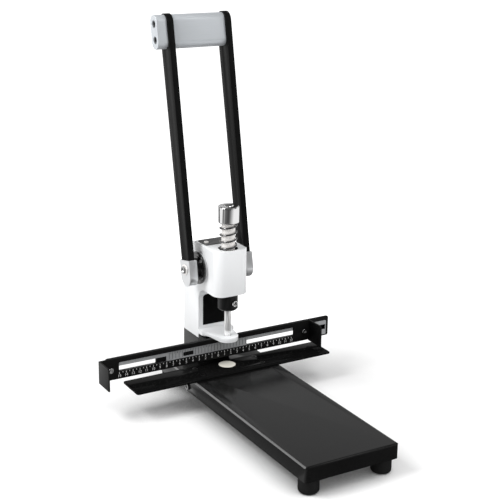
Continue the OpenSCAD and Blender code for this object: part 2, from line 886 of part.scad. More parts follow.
// Direction of the wire at each point, square to the seats at both ends
function wire_way(p, i) = i == 0 || i == len(p) - 1 ? [0, 0, 1] : unit(p[i + 1] - p[i - 1]);

function wire_ring(p, i) =
  let (
    way = wire_way(p, i),
    out = unit([p[i][0], p[i][1], 0]),
    side = unit(out - way * (out * way)),
    up = cross(way, side)
  )
  [for (k = [0 : wire_sides - 1])
    let (a = 360 * k / wire_sides)
    p[i] + wire_d / 2 * (side * cos(a) + up * sin(a))];

function ring_faces(a, b) = [
  for (k = [0 : wire_sides - 1])
    let (n = (k + 1) % wire_sides)
    each [[a + k, b + n, a + n], [a + k, b + k, b + n]]
];

spring_path = wire_path();
half_turn = round(rings_per_turn / 2);

// Least gap between stretches of wire that lie at least half a turn apart
spring_least_gap = min([
  for (i = [0 : len(spring_path) - 1 - half_turn - bend_rings])
    for (j = [i + half_turn + bend_rings : len(spring_path) - 1])
      norm(spring_path[i] - spring_path[j])
]) - wire_d;

module return_spring() {
  echo(spring_least_gap = spring_least_gap);
  rings = len(spring_path);
  last = (rings - 1) * wire_sides;
  points = [for (i = [0 : rings - 1]) each wire_ring(spring_path, i)];
  faces = concat(
    [for (k = [1 : wire_sides - 2]) [0, k, k + 1]],
    [for (i = [0 : rings - 2]) each ring_faces(i * wire_sides, (i + 1) * wire_sides)],
    [for (k = [1 : wire_sides - 2]) [last, last + k + 1, last + k]]
  );
  color(steel) polyhedron(points, faces);
}

// Drive

function involute(a) = tan(a) * 180 / PI - a;

// Half the angle that a tooth covers at a radius
function tooth_half(r) =
  (tooth_step / 2 - backlash / 2) / (2 * pitch_r) * 180 / PI
  + involute(pressure) - involute(acos(min(1, involute_r / r)));

function flank(i) = involute_r + (tip_r - involute_r) * i / flank_points;

// One tooth, about the direction a
function tooth(a) = concat(
  [polar(root_r, a - tooth_half(involute_r))],
  [for (i = [0 : flank_points]) polar(flank(i), a - tooth_half(flank(i)))],
  [for (i = [flank_points : -1 : 0]) polar(flank(i), a + tooth_half(flank(i)))],
  [polar(root_r, a + tooth_half(involute_r))]
);

function polar(r, a) = [r * cos(a), r * sin(a)];

module pinion() {
  color(steel) translate([0, pivot_y, pivot_z]) difference() {
    along_x(pinion_w) polygon([for (i = [0 : teeth - 1]) each tooth(180 + 360 * i / teeth)]);
    rod_x(shaft_d + 2 * fix_gap, -pinion_w, pinion_w);
    pin_hole();
  }
}

pin_half = root_r - 1;

module pin_hole() {
  rod_z(pin_d + 2 * fix_gap, -root_r - 5, root_r + 5);
}

module pinion_pin() {
  color(steel) translate([0, pivot_y, pivot_z]) rod_z(pin_d, -pin_half, pin_half);
}

module pivot_shaft() {
  tap = pivot_screw_d + 2 * fix_gap;
  color(steel) translate([0, pivot_y, pivot_z]) difference() {
    translate([lever_shift, 0, 0]) difference() {
      rod_x(shaft_d, -arm_out, arm_out);
      rod_x(tap, -arm_out - 1, 14 - arm_out);
      rod_x(tap, arm_out - 14, arm_out + 1);
    }
    pin_hole();
  }
}

// One gap of the rack, from the root to past the tips
module rack_gap() {
  half = tooth_step / 4 + backlash / 4;
  lean = tan(pressure);
  low = 1.25 * tooth_module;
  high = 2 * tooth_module;
  polygon([
    [rack_line - low, low * lean - half], [rack_line + high, -high * lean - half],
    [rack_line + high, high * lean + half], [rack_line - low, half - low * lean]
  ]);
}

rack_first = -2;
rack_last = ceil(travel / tooth_step) + 2;

module spindle() {
  color(steel) difference() {
    union() {
      rod_z(spindle_d, holder_top, cap_top - 3);
      rod_z(spigot_d, spigot_low, holder_top + 1);
    }
    rod_z(slug_bore, spigot_low - 1, cap_top);
    for (i = [rack_first : rack_last]) translate([0, 0, pivot_z + i * tooth_step]) along_x(spindle_d) rack_gap();
  }
}

module spindle_cap() {
  bore = spindle_d / 2 + fix_gap;
  edge = 1.2;
  color(steel) rotate_extrude() difference() {
    polygon([
      [slug_bore / 2, cap_z], [cap_d / 2 - edge, cap_z], [cap_d / 2, cap_z + edge], [cap_d / 2, cap_top - edge],
      [cap_d / 2 - edge, cap_top], [slug_bore / 2 + 3, cap_top], [slug_bore / 2, cap_top - 3]
    ]);
    translate([0, cap_z - 1]) square([bore, cap_h - 2]);
  }
}

module punch_holder() {
  r = holder_d / 2;
  edge = 2;
  cone_r = tube_d / 2 + 1.2;
  color(black_coat) difference() {
    rotate_extrude() polygon([
      [0, holder_top], [r - 1, holder_top], [r, holder_top - 1], [r, holder_low + edge], [r - edge, holder_low],
      [cone_r + 2, holder_low], [cone_r, cone_low], [0, cone_low]
    ]);
    rod_z(spigot_d + 2 * fix_gap, tube_seat, holder_top + 1);
    rod_z(tube_d + 2 * fix_gap, cone_low - 1, tube_seat + 0.5);
    in_clamp() {
      rod_z(clamp_d + 2 * fix_gap, -r, 1);
      rod_z(2 * clamp_d, 0, r);
    }
  }
}

// The clamp screw's head seats on a flat that is cut into the holder
module in_clamp() {
  rotate([0, 0, clamp_turn]) translate([0, 1.5 - holder_d / 2, clamp_z]) rotate([90, 0, 0]) children();
}

module clamp_screw() {
  shank = holder_d / 2 - 1.5 - spigot_d / 2 - 0.1;
  color(steel) in_clamp() socket_screw(clamp_d, clamp_d * 1.75, clamp_d * 0.8, shank, clamp_d * 0.9);
}

module punch_tube() {
  edge = 1.6;
  color(steel) rotate_extrude() polygon([
    [tube_bore / 2, tip_rest], [tube_bore / 2 + 0.15, tip_rest], [tube_d / 2, tip_rest + edge],
    [tube_d / 2, tube_seat], [tube_bore / 2, tube_seat]
  ]);
}

// Lever

module hub(side) {
  groove = 1.2;
  face = hub_in + hub_flange;
  out = end_in + side * lever_shift;
  color(black_coat) translate([0, pivot_y, pivot_z]) mirror([side < 0 ? 1 : 0, 0, 0]) difference() {
    union() {
      rod_x(hub_d, hub_in, face);
      rod_x(hub_boss_d, face - 0.1, out);
    }
    rod_x(shaft_d + 2 * fix_gap, hub_in - 1, out + 1);
    difference() {
      rod_x(hub_d - 5, face - groove, face + 1);
      rod_x(hub_boss_d + 5, hub_in, out);
    }
    groove_ring((face + out) / 2, groove);
  }
}

module groove_ring(x, depth) {
  difference() {
    rod_x(hub_boss_d + 2, x - 0.5, x + 0.5);
    rod_x(hub_boss_d - 2 * depth, x - 1, x + 1);
  }
}

// Side view of an arm in the lever's frame: across is -Y, along is +Z
module arm_side(gap) {
  low_r = arm_low_w / 2 + gap;
  top_r = arm_top_r + gap;
  translate([0, -arm_drop]) circle(low_r);
  translate([0, arm_tip_l]) circle(top_r);
  polygon([
    [-low_r, -arm_drop], [low_r, -arm_drop], [low_r, end_up],
    [top_r, arm_tip_l], [-top_r, arm_tip_l], [-low_r, end_up]
  ]);
}

module at_grip_screws() {
  for (z = [-1, 1]) translate([0, 0, lever_l + z * grip_screw_span / 2]) children();
}

module lever_arm(side) {
  color(black_coat) in_lever() difference() {
    translate([side * (arm_in + arm_t / 2), 0, 0]) along_x(arm_t) arm_side(0);
    rod_x(shaft_d + 2 * fix_gap, -arm_out - 1, arm_out + 1);
    at_grip_screws() rod_x(grip_screw_d + 2 * fix_gap, -arm_out - 1, arm_out + 1);
    if (side > 0) at_grip_screws() translate([arm_out, 0, 0]) rotate([0, 90, 0]) flush_hole(grip_screw_d, arm_t + 1);
  }
}

module end_side() {
  r = end_w / 2;
  translate([0, -arm_drop]) circle(r);
  translate([-r, -arm_drop]) square([end_w, end_up + arm_drop]);
}

module arm_end(side) {
  color(grey_metal) in_lever() mirror([side < 0 ? 1 : 0, 0, 0]) difference() {
    translate([(end_in + end_out) / 2, 0, 0]) along_x(end_out - end_in) end_side();
    translate([arm_in + arm_t / 2, 0, 0]) along_x(arm_t + 2 * fix_gap) arm_side(fix_gap);
    rod_x(shaft_d + 2 * fix_gap, end_in - 1, arm_out);
    rod_x(pivot_screw_d + 2 * fix_gap, arm_in, end_out + 1);
  }
}

module pivot_washers() {
  color(steel) in_lever() for (x = [0, 1]) mirror([x, 0, 0]) difference() {
    rod_x(washer_d, end_out, end_out + washer_t);
    rod_x(pivot_screw_d + 2 * fix_gap, end_out - 1, end_out + washer_t + 1);
  }
}

module pivot_screws() {
  shank = end_skin + washer_t + 10;
  color(steel) in_lever() for (x = [0, 1]) mirror([x, 0, 0])
    translate([end_out + washer_t, 0, 0]) rotate([0, 90, 0])
      socket_screw(pivot_screw_d, pivot_screw_d * 1.7, pivot_screw_d * 0.5, shank, pivot_screw_d * 0.9);
}

module grip_bar() {
  depth = 22;
  color(grey_metal) in_lever() difference() {
    translate([0, 0, lever_l]) along_x(arm_gap) stadium(grip_d, grip_h);
    at_grip_screws() {
      rod_x(grip_screw_d + 2 * fix_gap, -arm_in - 1, depth - arm_in);
      rod_x(grip_screw_d + 2 * fix_gap, arm_in - depth, arm_in + 1);
    }
  }
}

screw_well = grip_screw_d * 2;
well_depth = 6;

module grip_end_block() {
  color(grey_metal) in_lever() difference() {
    translate([-arm_out - block_l / 2, 0, lever_l]) along_x(block_l) stadium(grip_d, grip_h);
    at_grip_screws() {
      rod_x(grip_screw_d + 2 * fix_gap, -arm_out - block_l - 1, -arm_out + 1);
      rod_x(screw_well, -arm_out - block_l - 1, well_depth - arm_out - block_l);
    }
  }
}

module grip_screws_left() {
  shank = block_l - well_depth + arm_t + 18;
  color(dark_grey) in_lever() at_grip_screws()
    translate([well_depth - arm_out - block_l, 0, 0]) rotate([0, -90, 0])
      socket_screw(grip_screw_d, grip_screw_d * 1.75, grip_screw_d * 0.9, shank, grip_screw_d * 0.9);
}

module grip_screws_right() {
  color(dark_grey) in_lever() at_grip_screws()
    translate([arm_out, 0, 0]) rotate([0, 90, 0]) flush_screw(grip_screw_d, arm_t + 18);
}

// Gauge

module rail_bracket() {
  low = rail_low + 1.5;
  high = rail_top - 1;
  color(black_coat) difference() {
    union() {
      block([-bracket_out, bracket_out], [column_y - bracket_t, column_y], [base_top + 6, sole_z - 1]);
      for (x = [0, 1]) mirror([x, 0, 0]) {
        block([bracket_out - bracket_t, bracket_out], [rail_back, column_y], [low, sole_z - 1]);
        block([bracket_out - bracket_t, bracket_out], [rail_back, column_y - clear_gap], [low, high]);
        block([rail_screw_x - 7, bracket_out], [rail_back, rail_back + bracket_t], [low, high]);
      }
    }
    at_bracket_screws() rod_z(bracket_screw_d + 2 * fix_gap, -bracket_t - 1, 1);
    at_rail_screws() rod_z(rail_screw_d + 2 * fix_gap, -rail_screw_l - 1, 1);
  }
}

module bracket_screws() {
  color(steel) at_bracket_screws() socket_screw(
    bracket_screw_d, bracket_screw_d * 1.7, bracket_screw_d * 0.6, bracket_t + riser_wall, bracket_screw_d * 0.8
  );
}

module rail_outline() {
  difference() {
    translate([0, (rail_top + rail_low) / 2]) round_rect(2 * rail_half, rail_h, 2.5);
    rail_slots();
  }
}

module rail_slots() {
  left = -rail_mid_left - slot_end_left;
  right = slot_end_right - rail_mid_right;
  translate([(slot_end_left - rail_mid_left) / 2, slot_mid]) round_rect(left, slot_h, slot_corner);
  translate([(slot_end_right + rail_mid_right) / 2, slot_mid]) round_rect(right, slot_h, slot_corner);
}

slot_corner = 1;

module gauge_rail() {
  color(black_coat) difference() {
    translate([0, rail_y + rail_t / 2, 0]) along_y(rail_t) rail_outline();
    at_rail_screws() flush_hole(rail_screw_d, rail_screw_l);
  }
}

strip_low = rail_low + strip_below;
strip_high = rail_top - strip_above;

// The strip has the rail's slots, the left one longer, and a peep hole
module scale_strip() {
  color(dark_grey) difference() {
    translate([0, strip_y + strip_t / 2, 0]) along_y(strip_t) difference() {
      translate([0, (strip_low + strip_high) / 2])
        round_rect(2 * (rail_half - strip_end), strip_high - strip_low, 1.5);
      rail_slots();
      translate([-rail_mid_left, slot_mid]) round_rect(2 * strip_slot_more, slot_h, slot_corner);
      translate([-peep_left, slot_mid + peep_up]) round_rect(peep_l, peep_h, slot_corner);
    }
    at_rail_screws() flush_hole(rail_screw_d, rail_screw_l);
  }
}

// A box behind the rail's right end, hidden by the rail and open to the left for the gauge's nut
module rail_end_cap() {
  deep = clamp_nut_h + clamp_screw_tail;
  low = rail_low + 1;
  high = rail_top - end_cap_drop;
  color(black_coat) difference() {
    block([rail_half - end_cap_l, rail_half], [rail_back, rail_back + deep], [low, high]);
    block(
      [rail_half - end_cap_l - 1, rail_half - end_cap_wall], [rail_back - 1, rail_back + deep - end_cap_wall],
      [low + end_cap_wall, high - end_cap_wall]
    );
  }
}

module rail_screws() {
  color(steel) at_rail_screws() flush_screw(rail_screw_d, rail_screw_l);
}

// Front outline of the gauge plate in its own middle
module gauge_front() {
  difference() {
    translate([-gauge_l / 2, gauge_low]) square([gauge_l, gauge_h]);
    translate([0, (window_top + window_low) / 2]) round_rect(2 * window_half, window_h, 1);
  }
}

// Side outline of an end tab, with a round front upper corner
module tab_side() {
  r = 4;
  front = gauge_back - tab_d;
  low = gauge_low - tab_drop;
  translate([front, low]) square([tab_d, gauge_top - low - r]);
  translate([front + r, low]) square([tab_d - r, gauge_top - low]);
  translate([front + r, gauge_top - r]) circle(r);
}

module gauge_plate() {
  color(black_coat) difference() {
    translate([-gauge_left, 0, 0]) {
      translate([0, gauge_y + gauge_t / 2, 0]) along_y(gauge_t) gauge_front();
      for (x = [-1, 1]) translate([x * (gauge_l - gauge_t) / 2, 0, 0]) along_x(gauge_t) tab_side();
    }
    at_clamp_screws() rod_z(clamp_screw_d + 2 * fix_gap, -gauge_t - 1, 1);
  }
}

module gauge_clamp_screws() {
  color(steel) at_clamp_screws()
    socket_screw(clamp_screw_d, clamp_screw_d * 1.9, 2, rail_back - gauge_y + clamp_screw_tail, clamp_screw_d * 0.8);
}

module gauge_clamp_nuts() {
  nut_y = rail_back + 0.15;
  color(steel) at_clamp_screws() translate([0, 0, gauge_y - nut_y - clamp_nut_h]) difference() {
    cylinder(d = clamp_nut_d, h = clamp_nut_h);
    translate([0, 0, -1]) cylinder(d = clamp_screw_d + 2 * fix_gap, h = clamp_nut_h + 2);
  }
}

// The whole object stands over the origin
module place() {
  translate([-middle_x, -middle_y, 0]) children();
}

place() base_plate();
place() rubber_feet();
place() foot_screws();
place() support_bar();
place() side_screws();
place() cutting_disc();
place() paper_table();
place() table_screws();
place() riser();
place() column_bolts();
place() frame_casting();
place() throat_panel();
place() top_cover();
place() cover_screws();
place() rear_cover();
place() rear_screws();
place() lower_bush();
place() upper_bush();
place() pivot_bush(-1);  // pivot_bush_left
place() pivot_bush(1);  // pivot_bush_right
place() rail_bracket();
place() bracket_screws();
place() gauge_rail();
place() scale_strip();
place() rail_screws();
place() rail_end_cap();
place() return_spring();
place() pivot_shaft();
place() pinion();
place() pinion_pin();
place() hub(-1);  // hub_left
place() hub(1);  // hub_right
place() arm_end(-1);  // arm_end_left
place() arm_end(1);  // arm_end_right
place() lever_arm(-1);  // lever_arm_left
place() lever_arm(1);  // lever_arm_right
place() grip_bar();
place() grip_end_block();
place() grip_screws_left();
place() grip_screws_right();
place() pivot_washers();
place() pivot_screws();
place() spindle();
place() spindle_cap();
place() punch_holder();
place() clamp_screw();
place() punch_tube();
place() gauge_plate();
place() gauge_clamp_screws();
place() gauge_clamp_nuts();
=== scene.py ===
import json
from math import atan2, cos, pi, radians, sin

import bmesh
import bpy
from mathutils import Matrix, Vector

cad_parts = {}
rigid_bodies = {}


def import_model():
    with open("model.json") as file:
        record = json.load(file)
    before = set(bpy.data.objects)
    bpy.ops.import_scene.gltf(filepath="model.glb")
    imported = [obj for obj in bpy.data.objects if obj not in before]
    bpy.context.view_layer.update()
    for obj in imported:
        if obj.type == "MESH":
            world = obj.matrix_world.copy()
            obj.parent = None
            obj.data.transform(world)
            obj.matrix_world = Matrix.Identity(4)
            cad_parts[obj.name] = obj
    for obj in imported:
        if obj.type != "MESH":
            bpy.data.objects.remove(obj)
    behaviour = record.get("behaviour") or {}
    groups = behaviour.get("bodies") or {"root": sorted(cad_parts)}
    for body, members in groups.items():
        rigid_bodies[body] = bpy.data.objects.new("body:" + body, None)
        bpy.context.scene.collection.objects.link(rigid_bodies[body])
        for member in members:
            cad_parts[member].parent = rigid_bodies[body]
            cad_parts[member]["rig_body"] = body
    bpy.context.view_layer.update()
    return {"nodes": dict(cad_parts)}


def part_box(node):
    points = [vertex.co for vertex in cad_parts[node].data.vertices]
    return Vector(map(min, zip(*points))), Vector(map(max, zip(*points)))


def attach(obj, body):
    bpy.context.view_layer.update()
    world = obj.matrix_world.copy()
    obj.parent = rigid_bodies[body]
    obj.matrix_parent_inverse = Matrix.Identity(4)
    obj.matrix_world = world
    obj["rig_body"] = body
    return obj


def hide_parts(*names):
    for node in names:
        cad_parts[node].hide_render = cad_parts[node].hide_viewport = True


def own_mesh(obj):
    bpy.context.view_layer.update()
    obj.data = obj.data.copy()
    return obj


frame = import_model()

# Places and sizes, in metres

MM = 0.001
WELD = 0.004 * MM
FLAT_ANGLE = radians(0.5)
EDGE_ANGLE = radians(32)


def middle(node):
    low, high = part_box(node)
    return (low + high) / 2


punch = middle("spindle_cap")
punch.z = 0.0
spring_foot, spring_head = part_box("return_spring")
spring_low, spring_high = spring_foot.z, spring_head.z
spring_wide = spring_head.y - spring_foot.y
PLATE_THICKNESS = 2 * MM
plate_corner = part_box("gauge_plate")[1]
gauge_face = plate_corner.y - PLATE_THICKNESS
strip_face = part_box("scale_strip")[0].y

# Node trees


def node_group(name, kind, inputs, outputs):
    """A new node group with its named sockets and its two end nodes."""
    tree = bpy.data.node_groups.new(name, kind)
    for label, socket, value in inputs:
        made = tree.interface.new_socket(label, in_out="INPUT", socket_type=socket)
        if value is not None:
            made.default_value = value
    for label, socket in outputs:
        tree.interface.new_socket(label, in_out="OUTPUT", socket_type=socket)
    return tree, tree.nodes.new("NodeGroupInput"), tree.nodes.new("NodeGroupOutput")


def add(tree, kind, **settings):
    node = tree.nodes.new(kind)
    for key, value in settings.items():
        setattr(node, key, value)
    return node


def link(tree, source, target):
    tree.links.new(source, target)


def math_node(tree, operation, first, second=None):
    """A Math node whose inputs are sockets or plain numbers."""
    node = add(tree, "ShaderNodeMath", operation=operation)
    for slot, value in enumerate((first, second)):
        if value is None:
            continue
        if isinstance(value, (int, float)):
            node.inputs[slot].default_value = value
        else:
            link(tree, value, node.inputs[slot])
    return node.outputs[0]


# Effects that several finishes share


def coat_group():
    """Powder coat: fine orange peel, cloudy tone and handling marks that change the gloss."""
    tree, given, result = node_group(
        "powder coat",
        "ShaderNodeTree",
        [
            ("Colour", "NodeSocketColor", (0.5, 0.5, 0.5, 1)),
            ("Marks", "NodeSocketColor", (0.5, 0.5, 0.5, 1)),
            ("Peel size", "NodeSocketFloat", 900.0),
            ("Gloss low", "NodeSocketFloat", 0.3),
            ("Gloss high", "NodeSocketFloat", 0.4),
            ("Mark amount", "NodeSocketFloat", 0.2),
        ],
        [("Colour", "NodeSocketColor"), ("Roughness", "NodeSocketFloat"), ("Height", "NodeSocketFloat")],
    )
    place = add(tree, "ShaderNodeTexCoord")
    peel = add(tree, "ShaderNodeTexNoise")
    peel.inputs["Detail"].default_value = 3.0
    link(tree, place.outputs["Object"], peel.inputs["Vector"])
    link(tree, given.outputs["Peel size"], peel.inputs["Scale"])
    cloud = add(tree, "ShaderNodeTexNoise")
    cloud.inputs["Scale"].default_value = 26.0
    cloud.inputs["Detail"].default_value = 5.0
    cloud.inputs["Roughness"].default_value = 0.65
    link(tree, place.outputs["Object"], cloud.inputs["Vector"])
    spread = add(tree, "ShaderNodeMapRange")
    spread.inputs["From Min"].default_value = 0.35
    spread.inputs["From Max"].default_value = 0.7
    link(tree, cloud.outputs["Fac"], spread.inputs["Value"])
    amount = math_node(tree, "MULTIPLY", spread.outputs["Result"], given.outputs["Mark amount"])
    tone = add(tree, "ShaderNodeMix", data_type="RGBA")
    link(tree, amount, tone.inputs["Factor"])
    link(tree, given.outputs["Colour"], tone.inputs["A"])
    link(tree, given.outputs["Marks"], tone.inputs["B"])
    gloss = add(tree, "ShaderNodeMapRange")
    link(tree, spread.outputs["Result"], gloss.inputs["Value"])
    link(tree, given.outputs["Gloss low"], gloss.inputs["To Min"])
    link(tree, given.outputs["Gloss high"], gloss.inputs["To Max"])
    link(tree, tone.outputs["Result"], result.inputs["Colour"])
    link(tree, gloss.outputs["Result"], result.inputs["Roughness"])
    link(tree, peel.outputs["Fac"], result.inputs["Height"])
    return tree


def lines_group():
    """Tool marks: noise stretched into fine lines, for turned, brushed and drawn metal."""
    tree, given, result = node_group(
        "tool marks",
        "ShaderNodeTree",
        [
            ("Colour", "NodeSocketColor", (0.7, 0.7, 0.7, 1)),
            ("Shade", "NodeSocketColor", (0.6, 0.6, 0.6, 1)),
            ("Stretch", "NodeSocketVector", (1.0, 1.0, 1.0)),
            ("Gloss low", "NodeSocketFloat", 0.1),
            ("Gloss high", "NodeSocketFloat", 0.2),
        ],
        [("Colour", "NodeSocketColor"), ("Roughness", "NodeSocketFloat"), ("Height", "NodeSocketFloat")],
    )
    place = add(tree, "ShaderNodeTexCoord")
    stretch = add(tree, "ShaderNodeVectorMath", operation="MULTIPLY")
    link(tree, place.outputs["Object"], stretch.inputs[0])
    link(tree, given.outputs["Stretch"], stretch.inputs[1])
    lines = add(tree, "ShaderNodeTexNoise")
    lines.inputs["Scale"].default_value = 1.0
    lines.inputs["Detail"].default_value = 4.0
    lines.inputs["Roughness"].default_value = 0.6
    link(tree, stretch.outputs["Vector"], lines.inputs["Vector"])
    tone = add(tree, "ShaderNodeMix", data_type="RGBA")
    link(tree, lines.outputs["Fac"], tone.inputs["Factor"])
    link(tree, given.outputs["Colour"], tone.inputs["A"])
    link(tree, given.outputs["Shade"], tone.inputs["B"])
    gloss = add(tree, "ShaderNodeMapRange")
    link(tree, lines.outputs["Fac"], gloss.inputs["Value"])
    link(tree, given.outputs["Gloss low"], gloss.inputs["To Min"])
    link(tree, given.outputs["Gloss high"], gloss.inputs["To Max"])
    link(tree, tone.outputs["Result"], result.inputs["Colour"])
    link(tree, gloss.outputs["Result"], result.inputs["Roughness"])
    link(tree, lines.outputs["Fac"], result.inputs["Height"])
    return tree


coat_effect = coat_group()
lines_effect = lines_group()

# Finishes


def finish_base(name):
    material = bpy.data.materials.new(name)
    material.use_nodes = True
    return material, material.node_tree, material.node_tree.nodes["Principled BSDF"]


def rgba(red, green, blue):
    return (red, green, blue, 1.0)


def join_effect(tree, effect, shader, values, bump_depth):
    """Places an effect in a material and feeds its colour, roughness and height to the shader."""
    group = add(tree, "ShaderNodeGroup", node_tree=effect)
    for label, value in values.items():
        group.inputs[label].default_value = value
    link(tree, group.outputs["Colour"], shader.inputs["Base Color"])
    link(tree, group.outputs["Roughness"], shader.inputs["Roughness"])
    bump = add(tree, "ShaderNodeBump")
    bump.inputs["Strength"].default_value = 1.0
    bump.inputs["Distance"].default_value = bump_depth
    link(tree, group.outputs["Height"], bump.inputs["Height"])
    link(tree, bump.outputs["Normal"], shader.inputs["Normal"])


def coat(name, colour, marks, peel, gloss, mark_amount, depth, specular=0.5):
    material, tree, shader = finish_base(name)
    values = {
        "Colour": rgba(*colour),
        "Marks": rgba(*marks),
        "Peel size": peel,
        "Gloss low": gloss[0],
        "Gloss high": gloss[1],
        "Mark amount": mark_amount,
    }
    join_effect(tree, coat_effect, shader, values, depth * MM)
    shader.inputs["Specular IOR Level"].default_value = specular
    return material


def metal(name, colour, shade, stretch, gloss, depth, metallic=1.0):
    material, tree, shader = finish_base(name)
    values = {
        "Colour": rgba(*colour),
        "Shade": rgba(*shade),
        "Stretch": stretch,
        "Gloss low": gloss[0],
        "Gloss high": gloss[1],
    }
    join_effect(tree, lines_effect, shader, values, depth * MM)
    shader.inputs["Metallic"].default_value = metallic
    return material


def grey(tone, tint=0.0):
    """A grey of this linear tone, a little bluer with a tint above 0 and warmer below it."""
    return (tone * (1 - tint), tone, tone * (1 + tint))


white_coat = coat("white gloss coat", grey(0.88, 0.012), grey(0.85, 0.012), 700.0, (0.2, 0.28), 0.4, 0.006)
base_black = coat("black base coat", grey(0.0045), grey(0.007), 1500.0, (0.16, 0.24), 0.6, 0.006, 0.3)
# A paler grey that paints a highlight on the base plate's bends
bend_highlight_grey = coat("painted bend highlight", grey(0.13), grey(0.16), 1500.0, (0.1, 0.16), 0.5, 0.003, 0.8)
table_black = coat("black table coat", grey(0.004), grey(0.006), 1500.0, (0.1, 0.16), 0.6, 0.004, 0.03)
arm_black = coat("black arm coat", grey(0.0045), grey(0.007), 1600.0, (0.34, 0.44), 0.6, 0.018, 0.06)
gauge_black = coat("black gauge coat", grey(0.005), grey(0.009), 1700.0, (0.42, 0.52), 0.6, 0.02, 0.16)
panel_black = coat("black inner coat", grey(0.003), grey(0.005), 1500.0, (0.5, 0.6), 0.5, 0.02, 0.04)
cover_grey = coat("dark grey coat", grey(0.1), grey(0.12), 1300.0, (0.42, 0.52), 0.5, 0.015, 0.12)
strip_grey = coat("grey scale face", grey(0.34, 0.02), grey(0.4, 0.02), 1800.0, (0.45, 0.55), 0.5, 0.008, 0.2)
hub_gloss = coat("turned hub gloss", grey(0.003), grey(0.006), 500.0, (0.06, 0.1), 0.5, 0.002, 1.0)
holder_black = coat("black satin moulding", grey(0.006), grey(0.01), 900.0, (0.32, 0.42), 0.5, 0.008, 0.25)
rubber = coat("black rubber", grey(0.008), grey(0.014), 2600.0, (0.7, 0.85), 0.7, 0.05, 0.2)
nylon = coat("ivory nylon", (0.72, 0.7, 0.63), (0.62, 0.6, 0.53), 1100.0, (0.45, 0.6), 0.5, 0.02)
white_print = coat("white print", grey(0.74), grey(0.62), 2200.0, (0.5, 0.6), 0.5, 0.004)
dark_print = coat("dark print", grey(0.012), grey(0.03), 2200.0, (0.5, 0.6), 0.5, 0.004)
silver = metal(
    "satin silver", grey(0.68, 0.045), grey(0.61, 0.045), (40.0, 2600.0, 2600.0), (0.42, 0.5), 0.004, 0.5
)
arm_end_grey = metal(
    "satin arm end", grey(0.78, 0.012), grey(0.7, 0.012), (1800.0, 1800.0, 1800.0), (0.28, 0.36), 0.004, 0.75
)
bright_steel = metal("polished steel", grey(0.86), grey(0.78), (90.0, 90.0, 2400.0), (0.04, 0.1), 0.0008)
spring_steel = metal("spring steel", grey(0.22), grey(0.17), (900.0, 900.0, 900.0), (0.06, 0.12), 0.0008)
ground_steel = metal(
    "ground steel", grey(0.95, -0.025), grey(0.88, -0.025), (300.0, 300.0, 3000.0), (0.3, 0.4), 0.0015, 0.25
)
tube_steel = metal("tube steel", grey(0.9), grey(0.82), (300.0, 300.0, 3000.0), (0.14, 0.2), 0.0012, 0.55)
# A near-black metal that paints the shade inside the spring's bore
bore_shade_dark = metal("painted bore shade", grey(0.05), grey(0.03), (700.0, 700.0, 700.0), (0.4, 0.55), 0.01, 0.5)
machined = metal("machined steel", grey(0.5), grey(0.4), (500.0, 500.0, 2600.0), (0.25, 0.42), 0.004)
black_steel = metal("black oxide steel", grey(0.03), grey(0.05), (900.0, 900.0, 900.0), (0.3, 0.45), 0.004)
bronze = metal(
    "sintered bronze", (0.5, 0.33, 0.14), (0.36, 0.23, 0.1), (1900.0, 1900.0, 1900.0), (0.35, 0.55), 0.01
)

# Pieces made from the frame's own solids


def new_piece(name, mesh, material, body):
    piece = bpy.data.objects.new(name, mesh)
    bpy.context.scene.collection.objects.link(piece)
    mesh.materials.clear()
    mesh.materials.append(material)
    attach(piece, body)
    return piece


def body_of(node):
    return frame["nodes"][node]["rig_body"]


def welded(node):
    """A welded copy of a node's mesh with its flat faces joined up."""
    mesh = bmesh.new()
    mesh.from_mesh(frame["nodes"][node].data)
    bmesh.ops.remove_doubles(mesh, verts=mesh.verts, dist=WELD)
    bmesh.ops.dissolve_limit(mesh, angle_limit=FLAT_ANGLE, verts=mesh.verts, edges=mesh.edges)
    return mesh


def islands(node):
    """The lowest and highest corners of each separate solid in a node."""
    mesh = welded(node)
    left = set(mesh.verts)
    boxes = []
    while left:
        todo = [left.pop()]
        points = []
        while todo:
            vert = todo.pop()
            points.append(vert.co.copy())
            for edge in vert.link_edges:
                other = edge.other_vert(vert)
                if other in left:
                    left.remove(other)
                    todo.append(other)
        low = Vector(min(p[i] for p in points) for i in range(3))
        high = Vector(max(p[i] for p in points) for i in range(3))
        boxes.append((low, high))
    mesh.free()
    return sorted(boxes, key=lambda box: tuple(box[0]))


def finer(node, material, edge, segments=3):
    """A copy of a node with its edges rounded by edge millimetres, which stands for the node."""
    source = welded(node)
    for face in source.faces:
        face.smooth = True
    mesh = bpy.data.meshes.new(node + "_finish")
    source.to_mesh(mesh)
    source.free()
    piece = new_piece(node + "_finish", mesh, material, body_of(node))
    rounding = piece.modifiers.new("rounded edges", "BEVEL")
    rounding.width = edge * MM
    rounding.segments = segments
    rounding.limit_method = "ANGLE"
    rounding.angle_limit = EDGE_ANGLE
    rounding.harden_normals = True
    rounding.use_clamp_overlap = True
    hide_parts(node)
    return piece


# Pieces that a rule repeats


def plain_mesh(piece, name):
    """The evaluated result of a piece's node tree as a plain mesh, with the tree taken off."""
    graph = bpy.context.evaluated_depsgraph_get()
    mesh = bpy.data.meshes.new_from_object(piece.evaluated_get(graph), depsgraph=graph)
    mesh.name = name
    bpy.data.objects.remove(piece)
    return mesh


def grown(name, tree, inputs, start=None):
    """Runs a geometry tree with its inputs set by identifier and returns the mesh."""
    holder = bpy.data.objects.new(name + "_rule", start or bpy.data.meshes.new(name + "_start"))
    bpy.context.scene.collection.objects.link(holder)
    rule = holder.modifiers.new("rule", "NODES")
    rule.node_group = tree
    for item in tree.interface.items_tree:
        if item.item_type == "SOCKET" and item.in_out == "INPUT" and item.name in inputs:
            rule[item.identifier] = inputs[item.name]
    return plain_mesh(holder, name)


